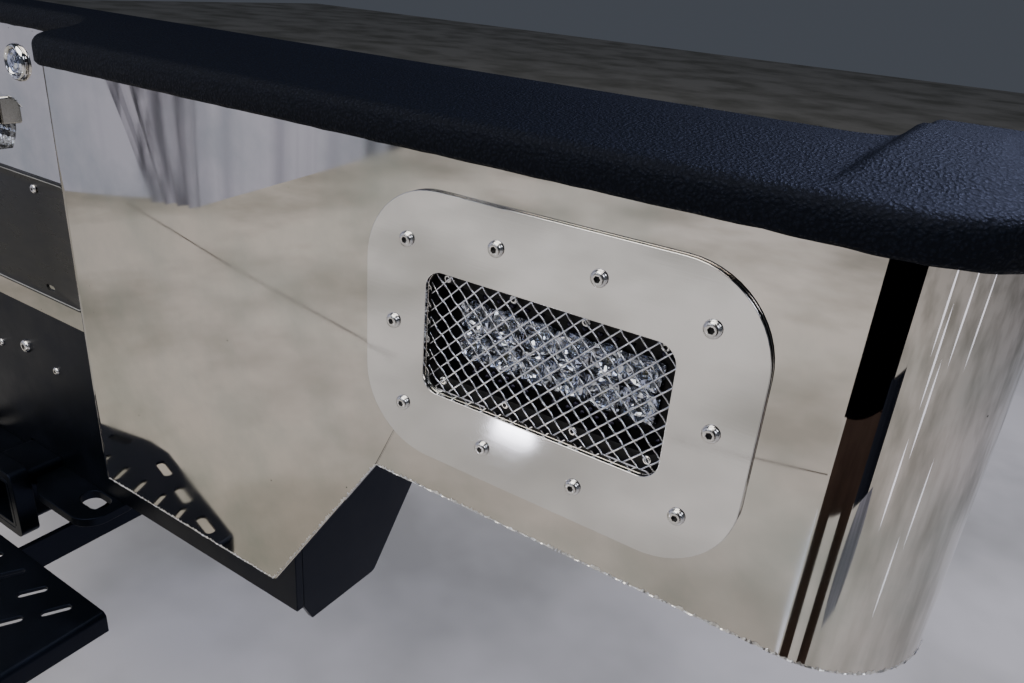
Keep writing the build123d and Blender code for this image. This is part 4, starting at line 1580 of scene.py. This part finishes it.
@dataclass
class Studio:
    """Plain floor, soft lamps, and what a polished sheet needs to reflect."""

    floor_half: float = 14.0
    hangings: Tuple[Hanging, ...] = (
        Hanging("cloth_left", BRIGHT_CLOTH, (-4.00, -0.85), (-2.33, -2.20)),
        Hanging("cloth_folds", FOLDED_CLOTH, (-2.45, -2.03), (-2.200, -2.147), folds=4, depth=0.05, spread=5.0),
        Hanging("cloth_right", CLOTH, (-2.230, -2.147), (-2.476, -3.885)),
        Hanging("cloth_end", DARK_CLOTH, (-2.41, -3.30), (-2.50, -4.05), folds=3, depth=0.03),
        Hanging("black_card", CARD, (0.935, -0.95), (1.30, -0.95), -0.10, 1.8),
        Hanging("brown_card_top", BROWN_CARD, (0.955, -0.955), (1.29, -0.955), -0.26, -0.10),
        Hanging("brown_card_left", BROWN_CARD, (0.955, -0.95), (1.05, -0.95), high=-0.25),
        Hanging("brown_card_right", BROWN_CARD, (1.16, -0.95), (1.27, -0.95), high=-0.25),
        Hanging("blue_card", BLUE_CARD, (1.27, -0.94), (1.40, -0.94), -0.26, -0.05),
        Hanging("grey_card", GREY_CARD, (1.30, -0.94), (1.48, -0.94), -0.50, -0.26, taper=0.4),
        Hanging("bend_light", SOFT_LIGHT, (0.924, -0.95), (0.942, -0.95), -0.62, -0.25, taper=0.8),
        Hanging("black_flag", CARD, (-0.95, -0.03), (0.95, -0.03), 0.345, 1.5),
        Hanging("light_pool", GLARE, (0.04, -1.487), (0.15, -1.487), high=FLOOR_Z + 0.09),
        Hanging("seam", SEAM, (-2.503, -1.909), (-0.45, -1.649), high=FLOOR_Z + 0.006),
        Hanging("seam_right", SEAM, (0.42, -1.775), (0.86, -1.875), high=FLOOR_Z + 0.004),
    )
    tubes: Tuple[Triple, ...] = (  # foot of each thin light beside the part, and its height
        (1.450, -0.703, 0.05), (1.484, -0.666, -0.02), (1.518, -0.622, -0.09), (1.479, -0.672, -0.20),
        (1.616, -0.401, -0.22), (1.593, -0.477, -0.34), (1.556, -0.559, 0.04), (1.614, -0.408, 0.04),
    )
    tube_length: float = 0.12

    def build(self) -> List[Piece]:
        """Makes the floor, the sheets that only reflections see, the lamps and the soft sky."""
        bm = bmesh.new()
        bmesh.ops.create_grid(bm, x_segments=1, y_segments=1, size=self.floor_half)
        made = [self.stage_piece("studio_floor", move(bm, (0, 0, FLOOR_Z)), FLOOR)]
        tubes = [Hanging(f"tube_{i}", TUBE, (x - 0.006, y - 0.006), (x + 0.006, y + 0.006), z - 0.02,
                         z + self.tube_length, taper=1.0)
                 for i, (x, y, z) in enumerate(self.tubes)]
        for hanging in list(self.hangings) + tubes:
            piece = self.stage_piece(hanging.name, hanging.mesh(), hanging.finish)
            piece.visible_camera = False
            piece.visible_diffuse = False
            piece.visible_shadow = False
            made.append(piece)
        world = bpy.data.worlds.new("studio_sky")
        world.use_nodes = True
        world.node_tree.nodes["Background"].inputs["Color"].default_value = linear("B4BDCE")
        world.node_tree.nodes["Background"].inputs["Strength"].default_value = 0.13
        bpy.context.scene.world = world
        self.lamp("overhead_softbox", (0.4, -2.2, 3.2), (0.2, -0.6, -0.3), 3.4, 142.0, "FFFAF2")
        self.lamp("left_softbox", (-3.2, -3.4, 2.2), (0.0, -0.4, 0.0), 2.2, 60.0, "FFFFFF")
        self.lamp("right_softbox", (4.4, -2.6, 3.0), (3.2, -1.6, -0.7), 1.6, 50.0, "EEF2FF")
        self.lamp("far_softbox", (-0.5, -3.6, 1.0), (-0.5, -3.55, -0.7), 1.4, 22.0, "E6ECFF")
        self.lamp("front_softbox", (1.5, 1.6, 2.6), (1.0, -0.2, 0.3), 0.9, 84.0, "CBD4FF")
        return made

    def stage_piece(self, name: str, bm: Mesh, finish: Finish) -> Piece:
        """Makes a piece of the studio, which isn't part of the object."""
        piece = show(name, bm, [finish])
        return piece

    def lamp(self, name: str, place: Sequence[float], aim: Sequence[float], size: float, power: float,
             colour: str) -> None:
        """Hangs a square soft lamp at a place and points it."""
        light = bpy.data.lights.new(name, "AREA")
        light.size = size
        light.energy = power
        light.color = linear(colour)[:3]
        holder = bpy.data.objects.new(name, light)
        holder.location = place
        holder.rotation_euler = (Vector(aim) - Vector(place)).to_track_quat("-Z", "Y").to_euler()
        bpy.context.scene.collection.objects.link(holder)


@dataclass
class PhotoCamera:
    """Camera at the photograph's viewing angle: behind and beside the right lamp, looking down on it."""

    place: Triple = (1.0271, -0.7008, 0.4079)
    turned_by: Triple = (65.273, -4.369, 33.329)
    lens: float = 28.63

    def build(self) -> List[Piece]:
        """Makes the camera the scene's own."""
        data = bpy.data.cameras.new("photo_camera")
        data.lens = self.lens
        data.sensor_width = 36.0
        data.clip_start = 0.01
        camera = bpy.data.objects.new("photo_camera", data)
        camera.location = self.place
        camera.rotation_euler = [math.radians(angle) for angle in self.turned_by]
        bpy.context.scene.collection.objects.link(camera)
        bpy.context.scene.camera = camera
        return []


def main() -> None:
    """Builds camera, studio and sub-assemblies in order and reports each piece."""
    logging.basicConfig(level=logging.INFO, format="%(name)s %(message)s")
    pieces = PhotoCamera().build() + Studio().build()
    assemblies: List[object] = [StepPad(), CentreBay(), Hitch()]
    for side in Side:
        assemblies += [Wing(side), LampCover(side), WovenGrille(side), WorkLamp(side)]
    for assembly in assemblies:
        made = assembly.build()
        pieces += made
        LOG.info("%s: %d pieces", type(assembly).__name__, len(made))


if __name__ == "__main__":
    main()
